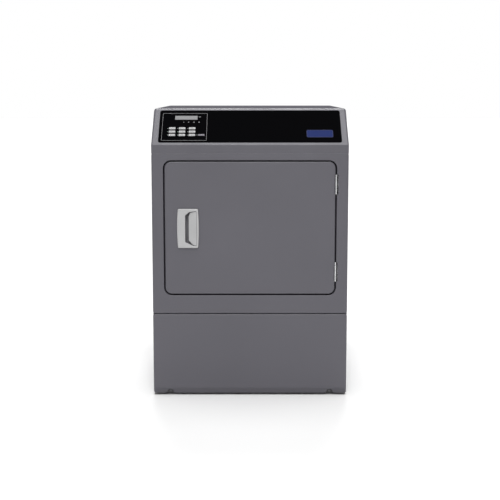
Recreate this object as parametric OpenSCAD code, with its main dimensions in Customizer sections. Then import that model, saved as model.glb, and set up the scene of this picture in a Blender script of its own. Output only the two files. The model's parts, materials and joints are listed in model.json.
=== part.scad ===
/* [Cabinet] */
// Width over the side panels
cab_w = 683; // [660:1:700]
// Height of the top over the floor
cab_h = 1012; // [1000:1:1030]
// Depth from the front face to the rear panel
cab_d = 711; // [700:1:730]
// Sheet steel thickness
sheet = 1.2; // [0.8:0.1:1.4]
// Radius of the upright front edges
edge_r = 7; // [4:0.5:10]
// Radius of the top panel's side edges
top_r = 9; // [8:1:18]
// Height of the lower panel's foot over the floor
foot_z = 7.4; // [6:0.2:10]
// Height of the seam between the lower panel and the front panel
lower_seam_z = 295; // [285:1:305]

/* [Console] */
// Height of the seam under the console
console_z = 860; // [855:1:865]
// Height of the knee where the console starts to slope at 45 degrees
knee_z = 890; // [886:1:894]
// Radius of the knee
knee_r = 8; // [4:1:12]
// Radius of the console's upper edge
brow_r = 22; // [8:1:22]
// Flat part of the console behind the upper edge
brow_run = 10; // [8:1:14]
// Width of the black fascia
fascia_w = 635.6; // [620:0.4:640]
// Length of the fascia along the slope
fascia_l = 153; // [148:1:154]
// Distance from the knee to the fascia along the slope
fascia_s = 9.5; // [8:0.5:12]
// Corner radius of the fascia
fascia_r = 8; // [5:0.5:9]

/* [Keys] */
// Width of a key
key_w = 23.5; // [20:0.5:26]
// Height of a key along the slope
key_h = 10.5; // [8:0.5:12]
// Column of the first keys, from the centre of the cabinet
key_x = -271.7; // [-275:0.1:-268]
// Pitch of the key columns
key_pitch_x = 34.85; // [33:0.05:36]
// Lowest key row, along the slope from the knee
key_s = 45.3; // [40:0.1:46]
// Pitch of the key rows along the slope
key_pitch_s = 15.6; // [14:0.1:17]
// Travel of a key
key_travel = 0.9; // [0.5:0.1:1.2]

/* [Door] */
// Width of the door opening in the front panel
opening_w = 601.5; // [590:0.5:610]
// Height of the door opening in the front panel
opening_h = 474.5; // [465:0.5:480]
// Corner radius of the door opening
opening_r = 28; // [20:1:34]
// Gap between the door and the opening
door_gap = 5; // [3.5:0.5:6]
// Height of the door's centre
door_zc = 598.8; // [596:0.2:602]
// Depth of the door's side walls
door_depth = 22; // [20:0.5:23]
// Depth of the seat behind the door
seat_depth = 30; // [30:0.5:31]
// Radius of a hinge knuckle
knuckle_r = 3.2; // [3:0.1:4]
// Height of a hinge
hinge_h = 64; // [56:1:70]
// Distance of each hinge from the door's centre height
hinge_offset = 153.4; // [140:0.2:160]
// Radius of a hinge pin
pin_r = 1.4; // [1.2:0.1:1.8]

/* [Door pull] */
// Width of the pull's plate
pull_w = 76; // [66:1:78]
// Height of the pull's plate
pull_h = 137; // [125:1:145]
// Height of the pull plate over the door
pull_out = 7; // [5:0.5:8]
// Centre of the pull's plate
pull_x = -215.5; // [-225:0.5:-212]

/* [Drum] */
// Outer radius of the drum
drum_r = 320; // [316:1:322]
// Front edge of the drum, behind the front face
drum_front = 72; // [70:1:74]
// Rear edge of the drum, behind the front face
drum_rear = 632; // [628:1:634]
// Width of the loading throat
throat_w = 480; // [460:1:484]
// Height of the loading throat
throat_h = 360; // [350:1:364]
// Corner radius of the loading throat
throat_r = 110; // [100:1:120]
// Height of a baffle
baffle_h = 78; // [60:1:84]

/* [Drive] */
// Radius of a drum roller
roller_r = 36; // [32:1:40]
// Angle of each roller from the bottom of the drum
roller_angle = 38; // [34:1:42]
// Radius of the motor pulley
pulley_r = 12; // [11:0.5:14]
// Radius of the idler pulley
idler_r = 30; // [27:1:32]
// Belt thickness
belt_t = 2; // [1.6:0.2:2.4]
// Belt width
belt_w = 12; // [10:1:13]

/* [Exhaust] */
// Outer radius of the exhaust pipe
pipe_r = 50.8; // [50:0.1:51]
// Length of the collar behind the rear panel
collar_out = 36; // [30:1:50]

/* [Hidden] */
$fn = 96;

// Gap between pieces that move past each other, and at the seams of the cabinet
gap = 0.3;
// Radial clearance of a shaft in its bore
fit = 0.05;
// Height of the heads of a hinge pin
pin_head = 1.6;
// Air between the closed door and the tip of the switch plunger
switch_gap = 2;
// Small overlap that joins the solids of one piece, and lets a cut run past a face
eps = 0.5;

half_w = cab_w / 2;
front_y = -(cab_d + collar_out + pull_out) / 2 + pull_out;
slope_rise = cab_h - knee_z;
brow_d = slope_rise + brow_run;
top_flange = 34;

door_w = opening_w - 2 * door_gap;
door_h = opening_h - 2 * door_gap;
door_r = opening_r - door_gap;
hinge_x = opening_w / 2 - door_gap / 2;
knuckle_seg = hinge_h / 3;

drum_zc = door_zc;
drum_bore = drum_r - sheet;
ring_r = 306;
ring_front = 62;
ring_rear = 648;
throat_z0 = drum_zc - throat_h / 2;
throat_back = 92;

base_z = 20;
motor_x = 110;
motor_z = 150;
shaft_r = 8;
belt_d = 326;
idler_x = 177.7;
idler_z = 238.5;
pivot_x = 215;
pivot_z = 120;
arm_d = belt_d + belt_w / 2 + 5;
arm_t = 3;
stud_r = 5;
roller_pin_r = 6;
roller_x = (drum_r + gap + roller_r) * sin(roller_angle);
roller_z = drum_zc - (drum_r + gap + roller_r) * cos(roller_angle);
roller_d = 606;
roller_w = 24;
pipe_x = -90;
pipe_z = 98;
blower_r = 112;
blower_d0 = 66;
blower_d1 = 150;
inlet_r = 56;

filter_w = 220;
filter_d0 = 42;
filter_t = 12;
filter_z0 = 165;
filter_z1 = throat_z0 + 10;
duct_d0 = 35;
duct_d1 = 61;
duct_wall = 2;

catch_x = -276;
switch_z = 700;
leg_x = 300;
leg_d = [45, 665];
leg_r = 5;
bushing_x = 250;
bushing_z = 760;
bushing_r = 11;
heater_z = [640, 880];
heater_x = 190;
screw_x = 281.7;
screw_z = 16;
screw_r = 2;
rear_screw_x = half_w - 12;
rear_screw_z = [90, 380, 670, 950];

panel_grey = [0.40, 0.40, 0.42];
zinc = [0.72, 0.73, 0.74];
steel = [0.80, 0.80, 0.81];
black = [0.02, 0.02, 0.025];

// Everything is laid out with y measured back from the cabinet's front face
module place() translate([0, front_y, 0]) children();

// Block between two corners
module slab(low, high) translate(low) cube(high - low);

// Rectangle with round corners, centred
module round_rect(w, h, r) {
    square([w - 2 * r, h], center = true);
    square([w, h - 2 * r], center = true);
    for (x = [-1, 1], y = [-1, 1]) translate([x * (w / 2 - r), y * (h / 2 - r)]) circle(r);
}

// Upright plate with round corners, from depth d0 to depth d1
module face_plate(w, h, r, d0, d1, zc = 0, x = 0) {
    translate([x, d1, zc]) rotate([90, 0, 0]) linear_extrude(d1 - d0) round_rect(w, h, r);
}

// Round bar along the depth axis
module rod(r, d0, d1, x = 0, z = 0) {
    translate([x, d0, z]) rotate([-90, 0, 0]) cylinder(r = r, h = d1 - d0);
}

// Places children on the console's slope: x across, y up the slope, z out of it
module on_slope() translate([0, 0, knee_z]) rotate([45, 0, 0]) children();

// Rectangle whose two corners at y = 0 are round
module round_front(w, l, r) {
    translate([-w / 2, r]) square([w, l - r]);
    translate([-w / 2 + r, 0]) square([w - 2 * r, l]);
    for (x = [-1, 1]) translate([x * (w / 2 - r), r]) circle(r);
}

// Bent sheet: a front with two returns of length l
module channel(w, l, r) {
    difference() {
        round_front(w, l, r);
        translate([0, sheet]) round_front(w - 2 * sheet, l, r - sheet);
    }
}

// Points of a polygon with its corners rounded, each by its own radius
function unit(v) = v / norm(v);
function corner(a, b, c, r, steps = 8) =
    r == 0 ? [b] :
    let (u = unit(a - b), v = unit(c - b), half = acos(u * v) / 2, run = r / tan(half),
        centre = b + unit(u + v) * r / sin(half), p = b + u * run - centre, q = b + v * run - centre,
        from = atan2(p.y, p.x), swing = atan2(p.x * q.y - p.y * q.x, p * q))
    [for (i = [0:steps]) centre + r * [cos(from + swing * i / steps), sin(from + swing * i / steps)]];
function rounded(points, radii) =
    [for (i = [0:len(points) - 1])
        each corner(points[(i + len(points) - 1) % len(points)], points[i],
            points[(i + 1) % len(points)], radii[i])];

// ---------- cabinet ----------

module leg_positions() {
    for (x = [-leg_x, leg_x], d = leg_d) translate([x, d, 0]) children();
}

module base_pan() color(zinc) place() {
    w = half_w - sheet - gap;
    d1 = cab_d - 4 * sheet;
    difference() {
        union() {
            slab([-w, 16, base_z], [w, d1, base_z + sheet]);
            for (s = [-1, 1]) mirror([s < 0 ? 1 : 0, 0, 0]) {
                slab([w - sheet, 16, base_z], [w, d1, base_z + 26]);
            }
            slab([-w, 16, base_z], [w, 16 + sheet, base_z + 26]);
            slab([-w, d1 - sheet, base_z], [w, d1, base_z + 26]);
            leg_positions() slab([-28, -26, base_z], [28, 26, base_z + 5]);
            // Cradle of the motor
            for (d = [180, 280]) slab([motor_x - 50, d, base_z], [motor_x + 50, d + 3, motor_z - 30]);
            // Bracket of the idler arm
            slab([pivot_x - 22, arm_d + arm_t + 4, base_z], [pivot_x + 22, arm_d + arm_t + 7, pivot_z + 18]);
            rod(stud_r, arm_d - 4, arm_d + arm_t + 5, pivot_x, pivot_z);
            rod(stud_r + 3, arm_d - 4, arm_d - gap, pivot_x, pivot_z);
            // Anchor of the idler spring
            slab([148, arm_d - 2, base_z], [160, arm_d + 6, base_z + 22]);
        }
        leg_positions() translate([0, 0, base_z - eps]) cylinder(r = leg_r + fit, h = 6);
        rod(62 + gap, 170, 300, motor_x, motor_z);
    }
}

module side_panel() {
    back = cab_d - 1.2 * sheet - gap;
    d0 = 14.5;
    inner = half_w - sheet;
    top = cab_h - top_flange;
    seam_d = brow_d + gap;
    translate([inner, 0, 0]) rotate([90, 0, 90]) linear_extrude(sheet) polygon([
        [d0, foot_z + 1], [back, foot_z + 1], [back, top - gap], [seam_d, top - gap],
        [seam_d, console_z - gap], [d0, console_z - gap]]);
    slab([inner - 16, d0, base_z + 30], [inner + eps, d0 + sheet, console_z - gap]);
    difference() {
        slab([inner - 18, back - sheet, base_z + 30], [inner + eps, back, top - gap]);
        for (z = rear_screw_z) rod(screw_r + 0.1, back - 5, back + eps, rear_screw_x, z);
    }
}
module right_side_panel() color(panel_grey) place() side_panel();
module left_side_panel() color(panel_grey) place() mirror([1, 0, 0]) side_panel();

module louvre(x, z, l, h) {
    translate([x, cab_d + eps, z]) rotate([90, 0, 0]) linear_extrude(4) round_rect(l, h, h / 2 - 0.01);
}

module rear_panel() color(panel_grey) place() {
    w = half_w - gap - sheet;
    top = cab_h - top_flange;
    difference() {
        slab([-w, cab_d - sheet, base_z - 6], [w, cab_d, top - gap]);
        rod(pipe_r + 2, cab_d - 5, cab_d + eps, pipe_x, pipe_z);
        rod(bushing_r + 3, cab_d - 5, cab_d + eps, bushing_x, bushing_z);
        for (x = [-110, 110], i = [0:8]) louvre(x, heater_z[0] + 24 + i * 24, 140, 7);
        for (i = [0:4]) louvre(200, 60 + i * 20, 120, 7);
        for (s = [-1, 1], z = rear_screw_z) rod(screw_r + 0.1, cab_d - 5, cab_d + eps, s * rear_screw_x, z);
    }
}

module top_panel() color(panel_grey) place() {
    front = brow_d + gap;
    bottom = cab_h - top_flange;
    translate([0, cab_d, cab_h]) rotate([90, 0, 0]) linear_extrude(cab_d - front)
        mirror([0, 1]) channel(cab_w, top_flange, top_r);
    slab([-half_w + top_r, cab_d - sheet, bottom], [half_w - top_r, cab_d, cab_h - 0.1]);
    slab([-half_w + top_r, front, bottom + 10], [half_w - top_r, front + sheet, cab_h - 0.1]);
}

// Space swept clear round the hinge knuckles and the heads of their pins
module knuckle_relief(extra = pin_head + 0.6) {
    for (s = [-1, 1]) translate([hinge_x, 0, door_zc + s * hinge_offset - hinge_h / 2 - extra])
        cylinder(r = knuckle_r + 0.6, h = hinge_h + 2 * extra);
}

// Slots for the webs of the cabinet leaves or of the door leaves
module web_slots(segments) {
    for (s = [-1, 1], k = segments)
        translate([hinge_x, 0, door_zc + s * hinge_offset + k * knuckle_seg - knuckle_seg / 2 - 0.4])
            children();
}

module front_panel() color(panel_grey) place() {
    z0 = lower_seam_z + 0.7;
    z1 = console_z - gap;
    difference() {
        union() {
            translate([0, 0, z0]) linear_extrude(z1 - z0) channel(cab_w, 14, edge_r);
            face_plate(opening_w + 2 * sheet, opening_h + 2 * sheet, opening_r + sheet,
                0, seat_depth + sheet, door_zc);
        }
        face_plate(opening_w, opening_h, opening_r, -eps, seat_depth, door_zc);
        face_plate(throat_w, throat_h, throat_r, 0, 40, drum_zc);
        knuckle_relief();
        web_slots([-1, 1]) slab([-2, -1, 0], [9, 21, knuckle_seg + 0.8]);
        rod(9, 20, 40, catch_x, door_zc);
        rod(4.2, 20, 40, catch_x, switch_z);
    }
}

module lower_front_panel() color(panel_grey) place() {
    z1 = lower_seam_z - 1.1;
    lip_z = 28;
    lip_in = 4;
    difference() {
        intersection() {
            union() {
                translate([0, 0, lip_z]) linear_extrude(z1 - lip_z) channel(cab_w, 14, edge_r);
                translate([-half_w + edge_r, 0, 0]) rotate([90, 0, 90]) linear_extrude(cab_w - 2 * edge_r)
                    polygon([[0, lip_z], [sheet, lip_z + eps], [lip_in + sheet, foot_z + sheet],
                        [20, foot_z + sheet], [20, foot_z], [lip_in, foot_z]]);
                for (s = [-1, 1]) {
                    slab([s * screw_x - 18, 8, foot_z], [s * screw_x + 18, 8 + sheet, lip_z + 12]);
                }
                for (s = [-1, 1]) mirror([s < 0 ? 1 : 0, 0, 0])
                    slab([half_w - edge_r - eps, lip_in + 1, foot_z], [half_w - 1, 14, lip_z + eps]);
            }
            face_plate(cab_w, 2 * (z1 - foot_z), 12, -eps, 40, z1);
        }
        for (s = [-1, 1]) rod(12.5, -1, 7, s * screw_x, foot_z + 2.5);
        for (s = [-1, 1]) rod(screw_r + 0.1, 5, 12, s * screw_x, screw_z);
    }
}

// Screw whose head sits on the face at depth d: out is 1 on the back and -1 on the front
module screw(x, d, z, out) {
    head = 2.4;
    rod(screw_r, out > 0 ? d - 8 : d - head / 2, out > 0 ? d + head / 2 : d + 8, x, z);
    rod(4.6, out > 0 ? d : d - head, out > 0 ? d + head : d, x, z);
}

module panel_screws() color(steel) place() {
    for (s = [-1, 1]) {
        screw(s * screw_x, 8, screw_z, -1);
        for (z = rear_screw_z) screw(s * rear_screw_x, cab_d, z, 1);
    }
}

// ---------- console ----------

module console_profile(inset, back) {
    shift = inset * (sqrt(2) - 1);
    low = inset > 0 ? console_z - 10 : console_z + gap;
    polygon(rounded([[inset, low], [inset, knee_z - shift],
            [slope_rise + shift, cab_h - inset], [back, cab_h - inset], [back, low]],
        [0, knee_r - inset, brow_r - inset, 0, 0]));
}

module across(w) translate([-w / 2, 0, 0]) rotate([90, 0, 90]) linear_extrude(w) children();

module fascia_block(w, l, r, low, high) {
    on_slope() translate([0, fascia_s + fascia_l / 2, low]) linear_extrude(high - low) round_rect(w, l, r);
}

module console_housing() color(panel_grey) place() {
    wall = 1.5;
    difference() {
        union() {
            difference() {
                across(cab_w) console_profile(0, brow_d);
                across(cab_w - 2 * wall) console_profile(wall, brow_d + 5);
            }
            intersection() {
                fascia_block(fascia_w + 14, fascia_l + 11, 11, -5, -wall + 0.1);
                across(cab_w - 2 * wall) console_profile(wall - 0.1, brow_d);
            }
        }
        fascia_block(fascia_w + 2 * gap, fascia_l + 2 * gap, fascia_r + gap, -3.6, 3);
        fascia_block(fascia_w - 14, fascia_l - 14, fascia_r, -8, 3);
    }
}

// Centre of key n, counted along the rows from the top left
function key_at(n) = [key_x + key_pitch_x * ((n - 1) % 3), key_s + key_pitch_s * (2 - floor((n - 1) / 3))];
start_at = [-169, key_s];
lamp_left = 15.2;
display_at = [-224.4, 127.6];
display_size = [78.8, 18.5];
status_at = [[-232.3, 106], [-215.7, 106], [-196.8, 106], [-179.1, 106], [-176.5, 131.5]];

module console_fascia() color(black) place() {
    difference() {
        fascia_block(fascia_w, fascia_l, fascia_r, -3.4, -0.4);
        on_slope() {
            for (n = [1:9]) translate([key_at(n).x, key_at(n).y, -5])
                linear_extrude(6) round_rect(key_w + 0.8, key_h + 0.8, 2.4);
            translate([start_at.x, start_at.y, -5]) linear_extrude(6) round_rect(key_w + 0.8, 9.3, 2.4);
            translate([display_at.x, display_at.y, -5])
                linear_extrude(6) round_rect(display_size.x + 0.4, display_size.y + 0.4, 1.2);
            for (n = [1:9]) translate([key_at(n).x - lamp_left, key_at(n).y, -5]) cylinder(r = 1.5, h = 6);
            translate([start_at.x - lamp_left, start_at.y, -5]) cylinder(r = 1.5, h = 6);
            for (p = status_at) translate([p.x, p.y, -5]) cylinder(r = 1.5, h = 6);
        }
    }
}

module display_window() color([0.35, 0.36, 0.36]) place() on_slope() {
    translate([display_at.x, display_at.y, -2.6])
        linear_extrude(2) round_rect(display_size.x, display_size.y, 1);
    translate([display_at.x, display_at.y, -3.9])
        linear_extrude(1.4) round_rect(display_size.x - 2, display_size.y - 2, 1);
}

module control_board() color([0.10, 0.32, 0.18]) place() on_slope() {
    board_n = -12;
    difference() {
        translate([-307, 17, board_n - 1.6]) cube([156, 135, 1.6]);
        for (x = [-301, -157], s = [23, 146]) translate([x, s, board_n - 3]) cylinder(r = 1.7, h = 5);
    }
    translate([display_at.x - 38, display_at.y - 10, board_n - 0.1]) cube([76, 20, 7.7]);
    for (n = [1:9]) {
        translate([key_at(n).x, key_at(n).y, board_n - 0.1]) cylinder(r = 3.2, h = 4);
        translate([key_at(n).x - lamp_left, key_at(n).y, board_n - 0.1]) cylinder(r = 1.3, h = 11.5);
    }
    translate([start_at.x, start_at.y, board_n - 0.1]) cylinder(r = 3.2, h = 4);
    translate([start_at.x - lamp_left, start_at.y, board_n - 0.1]) cylinder(r = 1.3, h = 11.5);
    for (p = status_at) translate([p.x, p.y, board_n - 0.1]) cylinder(r = 1.3, h = 11.5);
    translate([-200, 60, board_n - 7.5]) cube([34, 28, 6]);
    translate([-290, 90, board_n - 7.5]) cube([26, 40, 6]);
}

module badge_plate() color([0.25, 0.30, 0.40]) place() on_slope()
    translate([243, 51, -0.4]) linear_extrude(1.4) round_rect(92, 34, 5);

// A key with the retaining flange under the fascia
module key_body(at, h) color([0.78, 0.78, 0.78]) place() on_slope() {
    translate([at.x, at.y, -4]) linear_extrude(4.6) round_rect(key_w, h, 2);
    translate([at.x, at.y, -5]) linear_extrude(1.2) round_rect(key_w + 3, h + 3, 2);
}

// ---------- door ----------

module door_outer_panel() color(panel_grey) place() {
    difference() {
        face_plate(door_w, door_h, door_r, 0, door_depth, door_zc);
        face_plate(door_w - 2 * sheet, door_h - 2 * sheet, door_r - sheet, sheet, door_depth + eps, door_zc);
        knuckle_relief();
        web_slots([0]) slab([-10, -1, 0], [2, door_depth - 1, knuckle_seg + 0.8]);
        face_plate(pull_w - 17, pull_h - 16, 3, -eps, 3, door_zc, pull_x + 3);
    }
}

module door_liner() color([0.75, 0.75, 0.76]) place() {
    d0 = door_depth + gap;
    difference() {
        union() {
            face_plate(door_w - 4, door_h - 4, door_r - 2, d0, d0 + sheet, door_zc);
            face_plate(450, 330, 90, d0, d0 + 6.4, door_zc);
        }
        face_plate(450 - 2 * sheet, 330 - 2 * sheet, 90 - sheet, d0 - eps, d0 + 6.4 - sheet, door_zc);
        knuckle_relief();
    }
}

module door_seal() color([0.12, 0.12, 0.12]) place() {
    d0 = door_depth + sheet + 2 * gap;
    difference() {
        face_plate(520, 400, 130, d0, seat_depth - gap, door_zc);
        face_plate(498, 378, 119, d0 - eps, seat_depth, door_zc);
    }
}

module door_pull() color([0.74, 0.74, 0.73]) place() translate([pull_x, 0, door_zc]) {
    lip = -pull_w / 2 + 29;
    reach = 15;
    difference() {
        union() {
            face_plate(pull_w, pull_h, 4, -pull_out + 1.5, -0.05);
            face_plate(pull_w - 6, pull_h - 6, 4, -pull_out, 0);
            face_plate(pull_w - 18, pull_h - 17, 3, -1, reach + 2, 0, 3);
        }
        // Finger pocket: deep under the lip, with a floor that rises to the right
        translate([0, 0, -52]) linear_extrude(104) polygon([[lip, -pull_out - 1], [lip - 9, 2],
            [lip - 9, reach], [lip + 6, reach],
            [pull_w / 2 - 7, -pull_out + 1], [pull_w / 2 - 7, -pull_out - 1]]);
    }
}

module door_strike() color(steel) place() translate([catch_x, 0, door_zc]) {
    d0 = door_depth + sheet + gap;
    slab([-8, d0, -14], [8, d0 + 1.5, 14]);
    rod(2.6, d0 + 1, 36);
    translate([0, 36, 0]) sphere(r = 5);
}

// One hinge leaf that lies on the -X side of the pin
module hinge_leaf(segments) {
    difference() {
        union() {
            for (k = segments) translate([0, 0, k * knuckle_seg - knuckle_seg / 2 + gap / 2]) {
                cylinder(r = knuckle_r, h = knuckle_seg - gap);
                linear_extrude(knuckle_seg - gap)
                    polygon([[-0.6, 1.5], [-3.0, 0.6], [-8.2, 17.4], [-8.2, 19], [-6.2, 19]]);
            }
            slab([-34, 17.4, -hinge_h / 2], [-7, 19, hinge_h / 2]);
        }
        translate([0, 0, -hinge_h]) cylinder(r = pin_r + fit, h = 2 * hinge_h);
        for (z = [-22, 0, 22]) rod(2.1, 15, 22, -24, z);
    }
}

module at_hinges() {
    for (s = [-1, 1]) translate([hinge_x, 0, door_zc + s * hinge_offset]) children();
}

module door_hinge_leaves() color(steel) place() at_hinges() hinge_leaf([0]);
module cabinet_hinge_leaves() color(steel) place() at_hinges() mirror([1, 0, 0]) hinge_leaf([-1, 1]);

module hinge_pins() color(steel) place() at_hinges() {
    translate([0, 0, -hinge_h / 2]) cylinder(r = pin_r, h = hinge_h);
    translate([0, 0, hinge_h / 2]) cylinder(r = knuckle_r - 0.4, h = pin_head);
    translate([0, 0, -hinge_h / 2 - pin_head]) cylinder(r = knuckle_r - 0.4, h = pin_head);
}

module door_catch() color([0.15, 0.15, 0.16]) place() {
    d0 = seat_depth + sheet + gap;
    difference() {
        slab([catch_x - 14, d0, door_zc - 16], [catch_x + 14, d0 + 22, door_zc + 16]);
        rod(6.8, d0 - eps, d0 + 12, catch_x, door_zc);
    }
}

module door_switch() color([0.15, 0.15, 0.16]) place() {
    d0 = seat_depth + sheet + gap;
    difference() {
        slab([catch_x - 12, d0, switch_z - 14], [catch_x + 12, d0 + 20, switch_z + 14]);
        rod(3.5 + fit, d0 - eps, d0 + 14, catch_x, switch_z);
    }
}

module switch_plunger() color([0.85, 0.85, 0.82]) place()
    rod(3.5, door_depth + gap + sheet + switch_gap, seat_depth + 11, catch_x, switch_z);

// ---------- drum, bulkheads and seals ----------

module front_bulkhead() color(zinc) place() {
    side = half_w - sheet - gap;
    difference() {
        union() {
            difference() {
                slab([-side, ring_front, 232], [side, ring_front + sheet, 912]);
                rod(ring_r - sheet, ring_front - eps, ring_front + 5, 0, drum_zc);
            }
            difference() {
                rod(ring_r, ring_front, throat_back, 0, drum_zc);
                rod(ring_r - sheet, ring_front - eps, throat_back - sheet, 0, drum_zc);
            }
            face_plate(throat_w + 2 * sheet, throat_h + 2 * sheet, throat_r + sheet,
                seat_depth + sheet + gap, throat_back, drum_zc);
        }
        face_plate(throat_w, throat_h, throat_r, 20, throat_back + eps, drum_zc);
        slab([-filter_w / 2 - 4, 38, throat_z0 - 8], [filter_w / 2 + 4, 58, throat_z0 + 4]);
        // Air outlet grille under the throat
        for (i = [-4:4]) translate([i * 22, throat_back + eps, drum_zc - 231]) rotate([90, 0, 0])
            linear_extrude(4) round_rect(12, 72, 5.9);
    }
}

module rear_bulkhead() color(zinc) place() {
    side = half_w - sheet - gap;
    back_d = 618;
    difference() {
        union() {
            difference() {
                slab([-side, ring_rear, 240], [side, ring_rear + sheet, 925]);
                rod(ring_r - sheet, ring_rear - eps, ring_rear + 5, 0, drum_zc);
            }
            difference() {
                rod(ring_r, back_d, ring_rear + sheet, 0, drum_zc);
                rod(ring_r - sheet, back_d + sheet, ring_rear + 5, 0, drum_zc);
            }
        }
        // Hot air inlet
        for (i = [-7:7], j = [-4:4]) if (abs(i * 22 + (j % 2) * 11) < 165)
            rod(5, back_d - eps, back_d + 4, i * 22 + (j % 2) * 11, 750 + j * 19);
    }
    for (s = [-1, 1]) {
        rod(roller_pin_r, roller_d - 6, ring_rear + 0.5, s * roller_x, roller_z);
        rod(roller_pin_r + 5, roller_d + roller_w + gap, ring_rear + 0.5, s * roller_x, roller_z);
        rod(roller_pin_r + 3, roller_d - 4, roller_d - gap, s * roller_x, roller_z);
    }
}

module felt_ring(d0, d1) difference() {
    rod(drum_bore - gap, d0, d1, 0, drum_zc);
    rod(ring_r + 0.1, d0 - eps, d1 + eps, 0, drum_zc);
}

module drum_seals() color([0.80, 0.78, 0.72]) place() {
    felt_ring(drum_front + 2, drum_front + 10);
    felt_ring(620, 630);
    // Glide pads that carry the front of the drum
    for (s = [-1, 1]) intersection() {
        felt_ring(drum_front + 11, throat_back - 1);
        translate([0, 0, drum_zc]) rotate([0, s * 34, 0]) slab([-45, 60, -340], [45, 100, -280]);
    }
}

module drum_shell() color(steel) place() {
    difference() {
        union() {
            rod(drum_r, drum_front, drum_rear, 0, drum_zc);
            for (d = [150, 240, 430, 540]) translate([0, d, drum_zc]) rotate([-90, 0, 0])
                rotate_extrude() translate([drum_r - 0.2, 0]) circle(2.4, $fn = 24);
        }
        rod(drum_bore, drum_front - eps, drum_rear + eps, 0, drum_zc);
    }
}

module baffle_profile(inset) {
    foot = 44 - inset;
    polygon(rounded([[-foot, 0], [-17 + inset, baffle_h - inset], [17 - inset, baffle_h - inset], [foot, 0]],
        [0, 14 - inset, 14 - inset, 0]));
}

module drum_baffles() color(steel) place() {
    foot_r = sqrt(pow(drum_bore, 2) - pow(44, 2)) - 0.1;
    for (a = [60, 180, 300]) translate([0, 600, drum_zc]) rotate([0, 90 - a, 0]) rotate([90, 0, 0])
        translate([0, foot_r]) mirror([0, 1]) difference() {
            linear_extrude(500) baffle_profile(0);
            translate([0, -eps, 1.2]) linear_extrude(500 - 2.4) baffle_profile(1.2);
        }
}

module roller(s) color([0.25, 0.25, 0.26]) place() difference() {
    union() {
        rod(roller_r, roller_d + 2, roller_d + roller_w - 2, s * roller_x, roller_z);
        rod(14, roller_d, roller_d + roller_w, s * roller_x, roller_z);
    }
    rod(roller_pin_r + fit, roller_d - eps, roller_d + roller_w + eps, s * roller_x, roller_z);
    for (side = [0, 1]) difference() {
        rod(roller_r - 6, roller_d + (side == 0 ? 0 : roller_w - 7), roller_d + (side == 0 ? 7 : roller_w),
            s * roller_x, roller_z);
        rod(14, roller_d - eps, roller_d + roller_w + eps, s * roller_x, roller_z);
    }
}
module roller_left() roller(-1);
module roller_right() roller(1);

// ---------- drive ----------

module motor_housing() color([0.30, 0.31, 0.33]) place() {
    difference() {
        union() {
            rod(62, 172, 296, motor_x, motor_z);
            rod(24, 166, 302, motor_x, motor_z);
        }
        rod(shaft_r + fit, 160, 310, motor_x, motor_z);
        rod(39, 186, 282, motor_x, motor_z);
        for (a = [0:30:330]) translate([motor_x, 0, motor_z]) rotate([0, a, 0])
            slab([-4, 165, 44], [4, 178, 56]);
    }
}

module motor_shaft() color(steel) place() {
    rod(shaft_r, blower_d0 + 12, belt_d + 10, motor_x, motor_z);
    rod(38.4, 190, 278, motor_x, motor_z);
    rod(pulley_r, belt_d - 7, belt_d + 7, motor_x, motor_z);
    for (side = [-1, 1]) rod(pulley_r + 4, belt_d + side * 8 - 1, belt_d + side * 8 + 1, motor_x, motor_z);
}

module blower_wheel() color([0.16, 0.16, 0.17]) place() difference() {
    hub_d = blower_d0 + 8;
    back = blower_d1 - 10;
    union() {
        rod(84, back - 2, back, motor_x, motor_z);
        rod(15, hub_d + 6, back, motor_x, motor_z);
        difference() {
            rod(84, hub_d, hub_d + 2.5, motor_x, motor_z);
            rod(64, hub_d - eps, hub_d + 4, motor_x, motor_z);
        }
        for (a = [0:30:330]) translate([motor_x, 0, motor_z]) rotate([0, a, 0])
            translate([70, 0, 0]) rotate([0, 30, 0]) slab([-13, hub_d, -1], [13, back, 1]);
    }
    rod(shaft_r, hub_d - eps, back + eps, motor_x, motor_z);
}

module blower_housing() color([0.62, 0.63, 0.64]) place() {
    wall = 1.5;
    left = pipe_x + 60;
    low = motor_z - blower_r;
    difference() {
        union() {
            rod(blower_r, blower_d0, blower_d1, motor_x, motor_z);
            slab([left, blower_d0, low], [motor_x, blower_d1, motor_z + 6]);
            rod(inlet_r, duct_d1, blower_d0 + 1, motor_x, motor_z);
            for (x = [40, 160]) slab([x, blower_d0 + 10, base_z + sheet], [x + 20, blower_d1 - 10, low + 12]);
        }
        rod(blower_r - wall, blower_d0 + wall, blower_d1 - wall, motor_x, motor_z);
        slab([left - eps, blower_d0 + wall, low + wall], [motor_x, blower_d1 - wall, motor_z + 6 - wall]);
        rod(inlet_r - 2, duct_d1 - eps, blower_d0 + 5, motor_x, motor_z);
        rod(13, blower_d1 - 5, blower_d1 + eps, motor_x, motor_z);
    }
}

module exhaust_duct() color(zinc) place() {
    wall = 0.8;
    box_low = [pipe_x - 60, blower_d0, motor_z - blower_r];
    box_high = [pipe_x + 60 - gap, blower_d1, motor_z + 6];
    difference() {
        union() {
            slab(box_low, box_high);
            rod(pipe_r, blower_d1 - 0.5, cab_d + collar_out, pipe_x, pipe_z);
            rod(pipe_r + 1.2, cab_d + 10, cab_d + 14, pipe_x, pipe_z);
        }
        slab(box_low + [wall, wall, wall], box_high + [eps, -wall, -wall]);
        rod(pipe_r - wall, blower_d1 - 5, cab_d + collar_out + eps, pipe_x, pipe_z);
    }
}

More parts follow.
